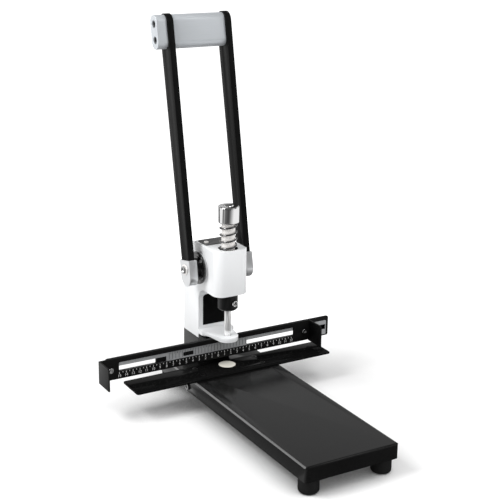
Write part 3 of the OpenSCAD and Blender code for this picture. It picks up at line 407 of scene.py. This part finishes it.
def close_tree(tree, geometry, given, result):
    """Ends a geometry tree: one plain mesh with its material."""
    real = add(tree, "GeometryNodeRealizeInstances")
    paint = add(tree, "GeometryNodeSetMaterial")
    link(tree, geometry, real.inputs["Geometry"])
    link(tree, real.outputs["Geometry"], paint.inputs["Geometry"])
    link(tree, given.outputs["Material"], paint.inputs["Material"])
    link(tree, paint.outputs["Geometry"], result.inputs["Geometry"])


def coil_tree():
    """A wire wound from a low seat to a high one, with a short stretch lying flat at each end."""
    tree, given, result = node_group(
        "wound spring",
        "GeometryNodeTree",
        [
            ("Coil radius", "NodeSocketFloat", 0.01),
            ("Wire radius", "NodeSocketFloat", 0.001),
            ("Low", "NodeSocketFloat", 0.0),
            ("High", "NodeSocketFloat", 0.05),
            ("Turns", "NodeSocketFloat", 4.25),
            ("Start", "NodeSocketFloat", 0.0),
            ("Flat share", "NodeSocketFloat", 0.03),
            ("Points", "NodeSocketInt", 300),
            ("Centre", "NodeSocketVector", (0.0, 0.0, 0.0)),
            ("Material", "NodeSocketMaterial", None),
        ],
        [("Geometry", "NodeSocketGeometry")],
    )
    line = add(tree, "GeometryNodeMeshLine")
    link(tree, given.outputs["Points"], line.inputs["Count"])
    count = add(tree, "GeometryNodeInputIndex")
    last = math_node(tree, "SUBTRACT", given.outputs["Points"], 1.0)
    share = math_node(tree, "DIVIDE", count.outputs["Index"], last)
    wound = math_node(tree, "MULTIPLY", math_node(tree, "MULTIPLY", share, given.outputs["Turns"]), 2 * pi)
    turn = math_node(tree, "ADD", wound, given.outputs["Start"])
    rise = add(tree, "ShaderNodeMapRange")
    link(tree, share, rise.inputs["Value"])
    link(tree, given.outputs["Flat share"], rise.inputs["From Min"])
    link(tree, math_node(tree, "SUBTRACT", 1.0, given.outputs["Flat share"]), rise.inputs["From Max"])
    thick = given.outputs["Wire radius"]
    link(tree, math_node(tree, "ADD", given.outputs["Low"], thick), rise.inputs["To Min"])
    link(tree, math_node(tree, "SUBTRACT", given.outputs["High"], thick), rise.inputs["To Max"])
    spot = add(tree, "ShaderNodeCombineXYZ")
    radius = given.outputs["Coil radius"]
    link(tree, math_node(tree, "MULTIPLY", math_node(tree, "COSINE", turn), radius), spot.inputs["X"])
    link(tree, math_node(tree, "MULTIPLY", math_node(tree, "SINE", turn), radius), spot.inputs["Y"])
    link(tree, rise.outputs["Result"], spot.inputs["Z"])
    shifted = add(tree, "ShaderNodeVectorMath", operation="ADD")
    link(tree, spot.outputs["Vector"], shifted.inputs[0])
    link(tree, given.outputs["Centre"], shifted.inputs[1])
    wind = add(tree, "GeometryNodeSetPosition")
    link(tree, line.outputs["Mesh"], wind.inputs["Geometry"])
    link(tree, shifted.outputs["Vector"], wind.inputs["Position"])
    path = add(tree, "GeometryNodeMeshToCurve")
    link(tree, wind.outputs["Geometry"], path.inputs["Mesh"])
    section = add(tree, "GeometryNodeCurvePrimitiveCircle")
    section.inputs["Resolution"].default_value = 14
    link(tree, given.outputs["Wire radius"], section.inputs["Radius"])
    wire = add(tree, "GeometryNodeCurveToMesh")
    wire.inputs["Fill Caps"].default_value = True
    link(tree, path.outputs["Curve"], wire.inputs["Curve"])
    link(tree, section.outputs["Curve"], wire.inputs["Profile Curve"])
    soft = add(tree, "GeometryNodeSetShadeSmooth")
    link(tree, wire.outputs["Mesh"], soft.inputs["Geometry"])
    close_tree(tree, soft.outputs["Geometry"], given, result)
    return tree


def tick_tree():
    """A row of printed ticks that hang down from a line, with a long one every so many."""
    tree, given, result = node_group(
        "tick row",
        "GeometryNodeTree",
        [
            ("First", "NodeSocketVector", (0.0, 0.0, 0.0)),
            ("Pitch", "NodeSocketFloat", 0.005),
            ("Count", "NodeSocketInt", 10),
            ("Width", "NodeSocketFloat", 0.0005),
            ("Depth", "NodeSocketFloat", 0.0001),
            ("Short", "NodeSocketFloat", 0.002),
            ("Long", "NodeSocketFloat", 0.004),
            ("Every", "NodeSocketInt", 2),
            ("Material", "NodeSocketMaterial", None),
        ],
        [("Geometry", "NodeSocketGeometry")],
    )
    step = add(tree, "ShaderNodeCombineXYZ")
    link(tree, given.outputs["Pitch"], step.inputs["X"])
    row = add(tree, "GeometryNodeMeshLine")
    link(tree, given.outputs["Count"], row.inputs["Count"])
    link(tree, given.outputs["First"], row.inputs["Start Location"])
    link(tree, step.outputs["Vector"], row.inputs["Offset"])
    size = add(tree, "ShaderNodeCombineXYZ")
    size.inputs["Z"].default_value = 1.0
    link(tree, given.outputs["Width"], size.inputs["X"])
    link(tree, given.outputs["Depth"], size.inputs["Y"])
    tick = add(tree, "GeometryNodeMeshCube")
    link(tree, size.outputs["Vector"], tick.inputs["Size"])
    hang = add(tree, "GeometryNodeTransform")
    hang.inputs["Translation"].default_value = (0.0, 0.0, -0.5)
    link(tree, tick.outputs["Mesh"], hang.inputs["Geometry"])
    index = add(tree, "GeometryNodeInputIndex")
    rest = math_node(tree, "MODULO", index.outputs["Index"], given.outputs["Every"])
    is_long = math_node(tree, "LESS_THAN", rest, 0.5)
    extra = math_node(tree, "SUBTRACT", given.outputs["Long"], given.outputs["Short"])
    tall = math_node(tree, "ADD", given.outputs["Short"], math_node(tree, "MULTIPLY", is_long, extra))
    scale = add(tree, "ShaderNodeCombineXYZ")
    scale.inputs["X"].default_value = 1.0
    scale.inputs["Y"].default_value = 1.0
    link(tree, tall, scale.inputs["Z"])
    put = add(tree, "GeometryNodeInstanceOnPoints")
    link(tree, row.outputs["Mesh"], put.inputs["Points"])
    link(tree, hang.outputs["Geometry"], put.inputs["Instance"])
    link(tree, scale.outputs["Vector"], put.inputs["Scale"])
    close_tree(tree, put.outputs["Instances"], given, result)
    return tree


def screw_tree():
    """One screw at each point, along the point's axis and turned at random about it."""
    tree, given, result = node_group(
        "screw set",
        "GeometryNodeTree",
        [
            ("Geometry", "NodeSocketGeometry", None),
            ("Screw", "NodeSocketObject", None),
            ("Seed", "NodeSocketInt", 3),
            ("Material", "NodeSocketMaterial", None),
        ],
        [("Geometry", "NodeSocketGeometry")],
    )
    axis = add(tree, "GeometryNodeInputNamedAttribute", data_type="FLOAT_VECTOR")
    axis.inputs["Name"].default_value = "axis"
    aim = add(tree, "FunctionNodeAlignRotationToVector", axis="Z")
    link(tree, axis.outputs["Attribute"], aim.inputs["Vector"])
    chance = add(tree, "FunctionNodeRandomValue", data_type="FLOAT")
    chance.inputs["Max"].default_value = pi / 3
    link(tree, given.outputs["Seed"], chance.inputs["Seed"])
    twist = add(tree, "FunctionNodeAxisAngleToRotation")
    twist.inputs["Axis"].default_value = (0.0, 0.0, 1.0)
    link(tree, chance.outputs["Value"], twist.inputs["Angle"])
    turned = add(tree, "FunctionNodeRotateRotation", rotation_space="LOCAL")
    link(tree, aim.outputs["Rotation"], turned.inputs["Rotation"])
    link(tree, twist.outputs["Rotation"], turned.inputs["Rotate By"])
    shape = add(tree, "GeometryNodeObjectInfo")
    link(tree, given.outputs["Screw"], shape.inputs["Object"])
    put = add(tree, "GeometryNodeInstanceOnPoints")
    link(tree, given.outputs["Geometry"], put.inputs["Points"])
    link(tree, shape.outputs["Geometry"], put.inputs["Instance"])
    link(tree, turned.outputs["Rotation"], put.inputs["Rotation"])
    close_tree(tree, put.outputs["Instances"], given, result)
    return tree


coil_rule = coil_tree()
tick_rule = tick_tree()
screw_rule = screw_tree()

# Screws

SIDES = 48
SHARP_ANGLE = radians(40)
CLAMP_FLAT = 1.5 * MM
ALONG_AXIS = 0.999


def hexagon(across, angle):
    """The distance to the edge of a hexagon in a direction."""
    return across / 2 / cos((angle % (pi / 3)) - pi / 6)


def turned_mesh(name, rings):
    """A closed mesh from rings up an axis.

    A ring is a radius and a height in millimetres; a tuple for the radius is a hexagon's size.
    """
    mesh = bmesh.new()
    loops = []
    for radius, height in rings:
        loop = []
        for k in range(SIDES):
            angle = 2 * pi * k / SIDES
            reach = hexagon(radius[0], angle) if isinstance(radius, tuple) else radius
            loop.append(mesh.verts.new((reach * cos(angle) * MM, reach * sin(angle) * MM, height * MM)))
        loops.append(loop)
    for low, high in zip(loops, loops[1:]):
        for k in range(SIDES):
            n = (k + 1) % SIDES
            mesh.faces.new((low[k], low[n], high[n], high[k]))
    mesh.faces.new(list(reversed(loops[0])))
    mesh.faces.new(loops[-1])
    for face in mesh.faces:
        face.smooth = True
    for edge in mesh.edges:
        edge.smooth = edge.calc_face_angle(0.0) < SHARP_ANGLE
    made = bpy.data.meshes.new(name)
    mesh.to_mesh(made)
    mesh.free()
    return made


def socket_head(name, across, height, shank, shank_length, socket):
    """A socket screw that stands on its seat: chamfered head, hexagon socket, plain shank below."""
    r = across / 2
    soft = 0.12 * across / 2
    rings = [
        (shank / 2 - 0.3, -shank_length),
        (shank / 2, 0.4 - shank_length),
        (shank / 2, 0.0),
        (r - 0.1, 0.0),
        (r, 0.12),
        (r, height - soft),
        (r - 0.3 * soft, height - 0.3 * soft),
        (r - soft, height),
        (socket * 0.64, height),
        ((socket,), height - 0.12 * socket),
        ((socket,), height * 0.35),
        (socket * 0.3, height * 0.28),
    ]
    return turned_mesh(name, rings)


def screw_set(node, material, sizes, way):
    """Finer screws for a node, seated where its solids' heads are; sizes are those of socket_head."""
    screw = bpy.data.objects.new(node + "_one", socket_head(node + "_one", *sizes))
    head_height = sizes[1] * MM
    seats = []
    for low, high in islands(node):
        centre = (low + high) / 2
        axis = Vector(way(centre) if callable(way) else way).normalized()
        reach = sum(abs(axis[i]) * (high[i] - low[i]) / 2 for i in range(3))
        slanting = max(abs(v) for v in axis) < ALONG_AXIS
        if slanting:
            seats.append((clamp_seat(axis), axis))
        else:
            seats.append((centre + axis * (reach - head_height), axis))
    points = bpy.data.meshes.new(node + "_seats")
    points.from_pydata([seat for seat, axis in seats], [], [])
    ways = points.attributes.new("axis", "FLOAT_VECTOR", "POINT")
    for k, (seat, axis) in enumerate(seats):
        ways.data[k].vector = axis
    mesh = grown(node + "_finish", screw_rule, {"Screw": screw, "Seed": 3, "Material": material}, points)
    bpy.data.objects.remove(screw)
    piece = new_piece(node + "_finish", mesh, material, body_of(node))
    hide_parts(node)


def clamp_seat(axis):
    """The seat of the holder's clamp screw, on a flat inside the holder's face."""
    low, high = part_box("punch_holder")
    face = (high.x - low.x) / 2 - CLAMP_FLAT
    screw_low, screw_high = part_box("clamp_screw")
    return Vector((punch.x, punch.y, (screw_low.z + screw_high.z) / 2)) + axis * face


def outward_x(centre):
    return (1, 0, 0) if centre.x > punch.x else (-1, 0, 0)


UP, DOWN = (0, 0, 1), (0, 0, -1)
FRONT, BACK, LEFT = (0, -1, 0), (0, 1, 0), (-1, 0, 0)
clamp_way = middle("clamp_screw") - punch
clamp_way.z = 0.0
for node, material, sizes, way, slot in (
    ("cover_screws", ground_steel, (6.65, 1.8, 3.5, 8.5, 2.8), UP, "bright_steel"),
    ("side_screws", machined, (9.6, 2.1, 6.0, 18, 4.8), outward_x, "bright_steel"),
    ("rear_screws", machined, (5.4, 1.65, 3.0, 7.5, 2.4), BACK, "steel"),
    ("foot_screws", machined, (10, 3.0, 5.0, 26, 3.5), DOWN, "steel"),
    ("bracket_screws", machined, (8.5, 3.0, 5.0, 7.5, 4.0), FRONT, "steel"),
    ("pivot_screws", machined, (10.2, 3.0, 6.0, 12.2, 5.4), outward_x, "bright_steel"),
    ("grip_screws_left", black_steel, (8.75, 4.5, 5.0, 34.2, 4.5), LEFT, "black_steel"),
    ("clamp_screw", bright_steel, (8.75, 4.0, 5.0, 6.4, 4.5), clamp_way, "bright_steel"),
    ("gauge_clamp_screws", bright_steel, (7.6, 2.0, 4.0, 11.75, 3.2), FRONT, "bright_steel"),
):
    screw_set(node, material, sizes, way)

# Rounded and coated pieces

BORE_REACH = 3 * MM
UPRIGHT = 0.5
# These pick the bend faces that get the painted highlight
BEND_LOW, BEND_HIGH, BEND_SIDE = 0.2, 0.97, 0.2


def bare_bore(piece, radius, low, material):
    """Paints shade on a bore's wall round the punch's axis with a dark second material, from a height
    upwards.
    """
    piece.data.materials.append(material)
    for face in piece.data.polygons:
        reach = max((piece.data.vertices[k].co - punch).to_2d().length for k in face.vertices)
        if face.center.z > low and reach < radius and abs(face.normal.z) < UPRIGHT:
            face.material_index = 1


def polished_bends(piece, material):
    """Paints a highlight on the bends along a folded sheet's long upper edges with a paler second material.
    """
    piece.data.materials.append(material)
    for face in piece.data.polygons:
        if BEND_LOW < face.normal.z < BEND_HIGH and abs(face.normal.x) > BEND_SIDE:
            face.material_index = 1


# The base plate's bends get a painted highlight
polished_bends(finer("base_plate", base_black, 0.5), bend_highlight_grey)
finer("paper_table", table_black, 0.4)
finer("riser", base_black, 0.4)
finer("rail_bracket", gauge_black, 0.3)
finer("gauge_rail", gauge_black, 0.3)
finer("rail_end_cap", holder_black, 0.4)
finer("gauge_plate", gauge_black, 0.4)
finer("throat_panel", panel_black, 0.3)
finer("rear_cover", base_black, 0.3)
finer("lever_arm_left", arm_black, 0.4)
finer("lever_arm_right", arm_black, 0.4)
casting = finer("frame_casting", white_coat, 0.8, 4)
# Painted shade: the wall of the spring's bore in the casting is darkened
bare_bore(casting, spring_wide / 2 + BORE_REACH, spring_low, bore_shade_dark)
finer("top_cover", cover_grey, 0.3)
finer("scale_strip", strip_grey, 0.1, 2)
finer("arm_end_left", arm_end_grey, 0.7)
finer("arm_end_right", arm_end_grey, 0.7)
finer("hub_left", hub_gloss, 0.5)
finer("hub_right", hub_gloss, 0.5)
finer("punch_holder", holder_black, 0.3)
finer("grip_bar", silver, 0.3)
finer("grip_end_block", silver, 0.6)
finer("grip_screws_right", black_steel, 0.15, 2)
finer("pivot_washers", ground_steel, 0.2)
finer("spindle", ground_steel, 0.12, 2)
finer("spindle_cap", bright_steel, 0.35)
finer("punch_tube", tube_steel, 0.08, 2)
finer("rubber_feet", rubber, 0.3)
finer("cutting_disc", nylon, 0.25)
finer("column_bolts", machined, 0.4)
finer("table_screws", black_steel, 0.1, 2)
finer("rail_screws", black_steel, 0.1, 2)
finer("gauge_clamp_nuts", machined, 0.5)
finer("pinion", machined, 0.15, 2)
finer("support_bar", machined, 0.5)
finer("pivot_shaft", machined, 0.4)
finer("pinion_pin", machined, 0.3)
for bush in ("lower_bush", "upper_bush", "pivot_bush_left", "pivot_bush_right"):
    finer(bush, bronze, 0.3)

# Return spring

WIRE = 2.4 * MM
SPRING_TURNS = 5
SPRING_START = radians(66)
SPRING_FLAT = 0.02
SPRING_POINTS = 400
spring_mesh = grown(
    "spring_wire",
    coil_rule,
    {
        "Coil radius": (spring_wide - WIRE) / 2,
        "Wire radius": WIRE / 2,
        "Low": spring_low,
        "High": spring_high,
        "Turns": SPRING_TURNS,
        "Start": SPRING_START,
        "Flat share": SPRING_FLAT,
        "Points": SPRING_POINTS,
        "Centre": tuple(punch),
        "Material": spring_steel,
    },
)
spring = new_piece("spring_wire", spring_mesh, spring_steel, "frame")
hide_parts("return_spring")
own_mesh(spring)

# Printed scales

PRINT = 0.12 * MM
CENTIMETRE = 10 * MM
WINDOW_BAND = 6.5 * MM
WINDOW_HEIGHT = 13 * MM
SCALE_ZERO = punch.x - 8.6 * MM
FIRST_NUMBER = -15
LAST_NUMBER = 12
TICK_DROP = 0.7 * MM
TICK_WIDTH, TICK_SHORT, TICK_LONG = 0.7 * MM, 1.6 * MM, 2.8 * MM
STRIP_TICKS = 50
STRIP_START = 75 * MM
STRIP_RISE = 11.5 * MM
STRIP_WIDTH, STRIP_SHORT, STRIP_LONG = 0.6 * MM, 3.0 * MM, 10.0 * MM
NUMBER_HEIGHT = 3.8 * MM
NUMBER_DROP = 7.9 * MM
DIGIT_SHARE = 0.72
window_low = plate_corner.z - WINDOW_BAND - WINDOW_HEIGHT
gauge_ticks = grown(
    "gauge_ticks",
    tick_rule,
    {
        "First": (SCALE_ZERO + FIRST_NUMBER * CENTIMETRE, gauge_face, window_low - TICK_DROP),
        "Pitch": CENTIMETRE / 2,
        "Count": 2 * (LAST_NUMBER - FIRST_NUMBER) + 1,
        "Width": TICK_WIDTH,
        "Depth": PRINT,
        "Short": TICK_SHORT,
        "Long": TICK_LONG,
        "Every": 2,
        "Material": white_print,
    },
)
new_piece("gauge_ticks", gauge_ticks, white_print, "gauge")

strip_ticks = grown(
    "strip_ticks",
    tick_rule,
    {
        "First": (SCALE_ZERO - STRIP_START, strip_face, window_low + STRIP_RISE),
        "Pitch": CENTIMETRE / 4,
        "Count": STRIP_TICKS,
        "Width": STRIP_WIDTH,
        "Depth": PRINT,
        "Short": STRIP_SHORT,
        "Long": STRIP_LONG,
        "Every": 2,
        "Material": dark_print,
    },
)
new_piece("strip_ticks", strip_ticks, dark_print, "frame")


def number_mesh(value, height, centre_x, base_z, face_y):
    """A printed number as a thin mesh on the gauge's front."""
    words = bpy.data.curves.new("number", "FONT")
    words.body = str(value)
    words.size = height / DIGIT_SHARE
    words.align_x = "CENTER"
    words.extrude = PRINT / 2
    words.resolution_u = 3
    holder = bpy.data.objects.new("number", words)
    bpy.context.scene.collection.objects.link(holder)
    mesh = plain_mesh(holder, "number")
    mesh.transform(Matrix.Translation((centre_x, face_y, base_z)) @ Matrix.Rotation(pi / 2, 4, "X"))
    return mesh


def joined(name, meshes):
    whole = bmesh.new()
    for part in meshes:
        whole.from_mesh(part)
        bpy.data.meshes.remove(part)
    mesh = bpy.data.meshes.new(name)
    whole.to_mesh(mesh)
    whole.free()
    return mesh


numbers = [
    number_mesh(abs(k), NUMBER_HEIGHT, SCALE_ZERO + k * CENTIMETRE, window_low - NUMBER_DROP, gauge_face)
    for k in range(FIRST_NUMBER, LAST_NUMBER + 1)
]
new_piece("gauge_numbers", joined("gauge_numbers", numbers), white_print, "gauge")

# Floor, light and camera

FLOOR_HALF = 6.0
FLOOR_DROP = 0.3 * MM
SHADE_REACH = 0.085
# How open the space above a spot of the floor is, and the floor's painted-shadow tone there
FLOOR_TONES = [(0.12, 0.05), (0.4, 0.86)]
GLOW_START, GLOW_END = 0.2, 0.6
GLOW_NEAR, GLOW_FAR = 0.06, 0.8
ROOM_LIGHT = 0.5
CAMERA_STAND = Vector((-735.08, -1308.21, 677.62)) * MM
CAMERA_WAY = atan2(CAMERA_STAND.y, CAMERA_STAND.x)
CAMERA_TURN, CAMERA_LIFT, CAMERA_ROLL = radians(-30.46), radians(17.34), radians(-0.86)
FOCAL_PIXELS, PICTURE_PIXELS = 1162.74, 500


def white_when_seen(tree, glow_kind):
    """A mask of camera, mirror and glass rays, and a white glow of this kind for them."""
    rays = add(tree, "ShaderNodeLightPath")
    seen = math_node(tree, "MAXIMUM", rays.outputs["Is Camera Ray"], rays.outputs["Is Glossy Ray"])
    seen = math_node(tree, "MAXIMUM", seen, rays.outputs["Is Transmission Ray"])
    glow = add(tree, glow_kind)
    glow.inputs["Color"].default_value = rgba(1.0, 1.0, 1.0)
    return seen, glow


def floor():
    """A pale floor with painted shadow, its colour darker where the object covers it, and white further out.
    """
    mesh = bpy.data.meshes.new("floor")
    half, low = FLOOR_HALF, -FLOOR_DROP
    corners = [(-half, -half, low), (half, -half, low), (half, half, low), (-half, half, low)]
    mesh.from_pydata(corners, [], [(0, 1, 2, 3)])
    piece = bpy.data.objects.new("floor", mesh)
    bpy.context.scene.collection.objects.link(piece)
    material = bpy.data.materials.new("pale floor")
    material.use_nodes = True
    tree = material.node_tree
    shader = tree.nodes["Principled BSDF"]
    output = tree.nodes["Material Output"]
    # Painted shadow: occlusion darkens the floor's colour under and beside the object
    corner = add(tree, "ShaderNodeAmbientOcclusion", samples=4)
    corner.inputs["Distance"].default_value = SHADE_REACH
    shade = add(tree, "ShaderNodeValToRGB")
    for mark, (share, tone) in zip(shade.color_ramp.elements, FLOOR_TONES):
        mark.position = share
        mark.color = rgba(tone, tone, tone)
    link(tree, corner.outputs["AO"], shade.inputs["Fac"])
    link(tree, shade.outputs["Color"], shader.inputs["Base Color"])
    shader.inputs["Roughness"].default_value = 0.9
    shader.inputs["Specular IOR Level"].default_value = 0.0
    seen, glow = white_when_seen(tree, "ShaderNodeEmission")
    place = add(tree, "ShaderNodeTexCoord")
    away = add(tree, "ShaderNodeVectorMath", operation="LENGTH")
    link(tree, place.outputs["Object"], away.inputs[0])
    fade = add(tree, "ShaderNodeMapRange")
    fade.inputs["From Min"].default_value = GLOW_START
    fade.inputs["From Max"].default_value = GLOW_END
    fade.inputs["To Min"].default_value = GLOW_NEAR
    fade.inputs["To Max"].default_value = GLOW_FAR
    link(tree, away.outputs["Value"], fade.inputs["Value"])
    link(tree, math_node(tree, "MULTIPLY", seen, fade.outputs["Result"]), glow.inputs["Strength"])
    both = add(tree, "ShaderNodeAddShader")
    link(tree, shader.outputs["BSDF"], both.inputs[0])
    link(tree, glow.outputs[0], both.inputs[1])
    link(tree, both.outputs["Shader"], output.inputs["Surface"])
    mesh.materials.append(material)


def room():
    """White for the camera and for mirrors, and an even light on the rest."""
    world = bpy.data.worlds.new("white room")
    world.use_nodes = True
    tree = world.node_tree
    plain = tree.nodes["Background"]
    plain.inputs["Color"].default_value = rgba(1.0, 1.0, 1.0)
    plain.inputs["Strength"].default_value = ROOM_LIGHT
    seen, glow = white_when_seen(tree, "ShaderNodeBackground")
    either = add(tree, "ShaderNodeMixShader")
    link(tree, seen, either.inputs["Fac"])
    link(tree, plain.outputs["Background"], either.inputs[1])
    link(tree, glow.outputs["Background"], either.inputs[2])
    link(tree, either.outputs["Shader"], tree.nodes["World Output"].inputs["Surface"])
    bpy.context.scene.world = world


def soft_lamp(name, place, target, size, power, mirrored=True):
    """A rectangular lamp that faces a target; mirrored says whether gloss shows it."""
    lamp = bpy.data.lights.new(name, "AREA")
    lamp.shape = "RECTANGLE"
    lamp.size, lamp.size_y = size
    lamp.energy = power
    holder = bpy.data.objects.new(name, lamp)
    holder.location = place
    holder.visible_glossy = mirrored
    holder.rotation_euler = (Vector(target) - Vector(place)).to_track_quat("-Z", "Y").to_euler()
    bpy.context.scene.collection.objects.link(holder)


def mirror_only(name, mesh, material):
    """A card out of the picture that only gloss and mirrors show."""
    card = bpy.data.objects.new(name, mesh)
    bpy.context.scene.collection.objects.link(card)
    mesh.materials.append(material)
    card.visible_camera = False
    card.visible_diffuse = False
    card.visible_transmission = False
    card.visible_volume_scatter = False
    card.visible_shadow = False


def flag_material(name, stops):
    """Light by the direction about the punch; stops are degrees right of the camera and a tone."""
    material = bpy.data.materials.new(name)
    material.use_nodes = True
    tree = material.node_tree
    tree.nodes.clear()
    place = add(tree, "ShaderNodeTexCoord")
    centred = add(tree, "ShaderNodeVectorMath", operation="SUBTRACT")
    centred.inputs[1].default_value = punch
    link(tree, place.outputs["Object"], centred.inputs[0])
    turned = add(tree, "ShaderNodeVectorRotate", rotation_type="Z_AXIS")
    turned.inputs["Angle"].default_value = -CAMERA_WAY
    link(tree, centred.outputs["Vector"], turned.inputs["Vector"])
    parts = add(tree, "ShaderNodeSeparateXYZ")
    link(tree, turned.outputs["Vector"], parts.inputs["Vector"])
    angle = math_node(tree, "ARCTAN2", parts.outputs["Y"], parts.outputs["X"])
    share = math_node(tree, "ADD", math_node(tree, "DIVIDE", angle, 2 * pi), 0.5)
    ramp = add(tree, "ShaderNodeValToRGB")
    marks = ramp.color_ramp.elements
    while len(marks) < len(stops):
        marks.new(0.5)
    for mark, (degrees, tone) in zip(marks, stops):
        mark.position = degrees / 360 + 0.5
        mark.color = rgba(tone, tone, tone)
    link(tree, share, ramp.inputs["Fac"])
    glow = add(tree, "ShaderNodeEmission")
    link(tree, ramp.outputs["Color"], glow.inputs["Color"])
    link(tree, glow.outputs["Emission"], add(tree, "ShaderNodeOutputMaterial").inputs["Surface"])
    material.cycles.emission_sampling = "NONE"
    return material


FLAG_SIDES = 96
INNER_RING, NEAR_RING, MIDDLE_RING, FAR_RING = 0.02, 0.28, 0.45, 2.9
WALL_TOP = 2.4
CEILING_RING, CEILING_TOP = 0.1, 1.5 * WALL_TOP
# Degrees right of the camera about the punch, and the tone there
NEAR_FLAGS = [(-180, 0.08), (-155, 0.08), (-145, 1.0), (-85, 1.0), (-70, 0.24), (160, 0.24), (180, 0.08)]
MIDDLE_FLAGS = [
    (-180, 0.08), (-155, 0.08), (-145, 1.0), (-52, 1.0), (-42, 0.04), (-22, 0.04), (-8, 0.7),
    (8, 0.7), (20, 0.06), (50, 0.06), (62, 0.8), (85, 0.24), (160, 0.24), (180, 0.08),
]
FLOOR_FLAGS = [
    (-180, 0.08), (-155, 0.08), (-145, 1.0), (-72, 1.0), (-60, 0.12), (-54, 0.12), (-46, 0.5),
    (-34, 0.15), (0, 0.06), (15, 0.15), (60, 1.0), (160, 1.0), (180, 0.08),
]
WALL_FLAGS = [
    (-180, 0.5), (-150, 0.5), (-140, 1.0), (-100, 1.0), (-60, 0.06),
    (80, 0.06), (120, 1.0), (150, 0.5), (180, 0.5),
]
CEILING_FLAGS = [(-180, 0.15), (180, 0.15)]


def flags():
    """Floor, wall and ceiling for the metal to mirror, dark towards the camera and overhead."""
    for name, ring, stops in (
        ("near_flags", ((INNER_RING, 0.0), (NEAR_RING, 0.0)), NEAR_FLAGS),
        ("middle_flags", ((NEAR_RING, 0.0), (MIDDLE_RING, 0.0)), MIDDLE_FLAGS),
        ("floor_flags", ((MIDDLE_RING, 0.0), (FAR_RING, 0.0)), FLOOR_FLAGS),
        ("wall_flags", ((FAR_RING, 0.0), (FAR_RING, WALL_TOP)), WALL_FLAGS),
        ("ceiling_flags", ((FAR_RING, WALL_TOP), (CEILING_RING, CEILING_TOP)), CEILING_FLAGS),
    ):
        turns = [2 * pi * k / FLAG_SIDES for k in range(FLAG_SIDES)]
        corners = [punch + Vector((r * cos(a), r * sin(a), z)) for r, z in ring for a in turns]
        nexts = [(k + 1) % FLAG_SIDES for k in range(FLAG_SIDES)]
        faces = [(k, n, n + FLAG_SIDES, k + FLAG_SIDES) for k, n in enumerate(nexts)]
        mesh = bpy.data.meshes.new(name)
        mesh.from_pydata(corners, [], faces)
        mirror_only(name, mesh, flag_material(name, stops))


def camera():
    """A camera at the photograph's place, turn and focal length."""
    turn, lift, roll = CAMERA_TURN, CAMERA_LIFT, CAMERA_ROLL
    stand = CAMERA_STAND + punch
    right = Vector((cos(turn), sin(turn), 0))
    back = Vector((sin(turn) * cos(lift), -cos(turn) * cos(lift), sin(lift)))
    up = back.cross(right)
    right, up = right * cos(roll) - up * sin(roll), right * sin(roll) + up * cos(roll)
    lens = bpy.data.cameras.new("camera")
    lens.sensor_width = 36.0
    lens.lens = FOCAL_PIXELS / PICTURE_PIXELS * lens.sensor_width
    lens.clip_end = 50.0
    holder = bpy.data.objects.new("camera", lens)
    holder.matrix_world = Matrix(
        (
            (right.x, up.x, back.x, stand.x),
            (right.y, up.y, back.y, stand.y),
            (right.z, up.z, back.z, stand.z),
            (0, 0, 0, 1),
        )
    )
    bpy.context.scene.collection.objects.link(holder)
    bpy.context.scene.camera = holder


floor()
room()
flags()
soft_lamp("left_softbox", (-1.15, 0.2, 1.3), (0, 0.1, 0.2), (0.6, 0.9), 19)
soft_lamp("top_softbox", (0.3, -0.55, 1.8), (0, 0.05, 0.1), (1.0, 1.0), 8, mirrored=False)
soft_lamp("right_softbox", (1.1, -1.4, 1.5), (0, 0, 0.2), (0.8, 1.0), 5)
soft_lamp("front_fill", (0.2, -1.6, 0.75), (0, 0, 0.15), (0.9, 0.7), 4.5, mirrored=False)
camera()
bpy.context.scene.view_settings.view_transform = "Standard"
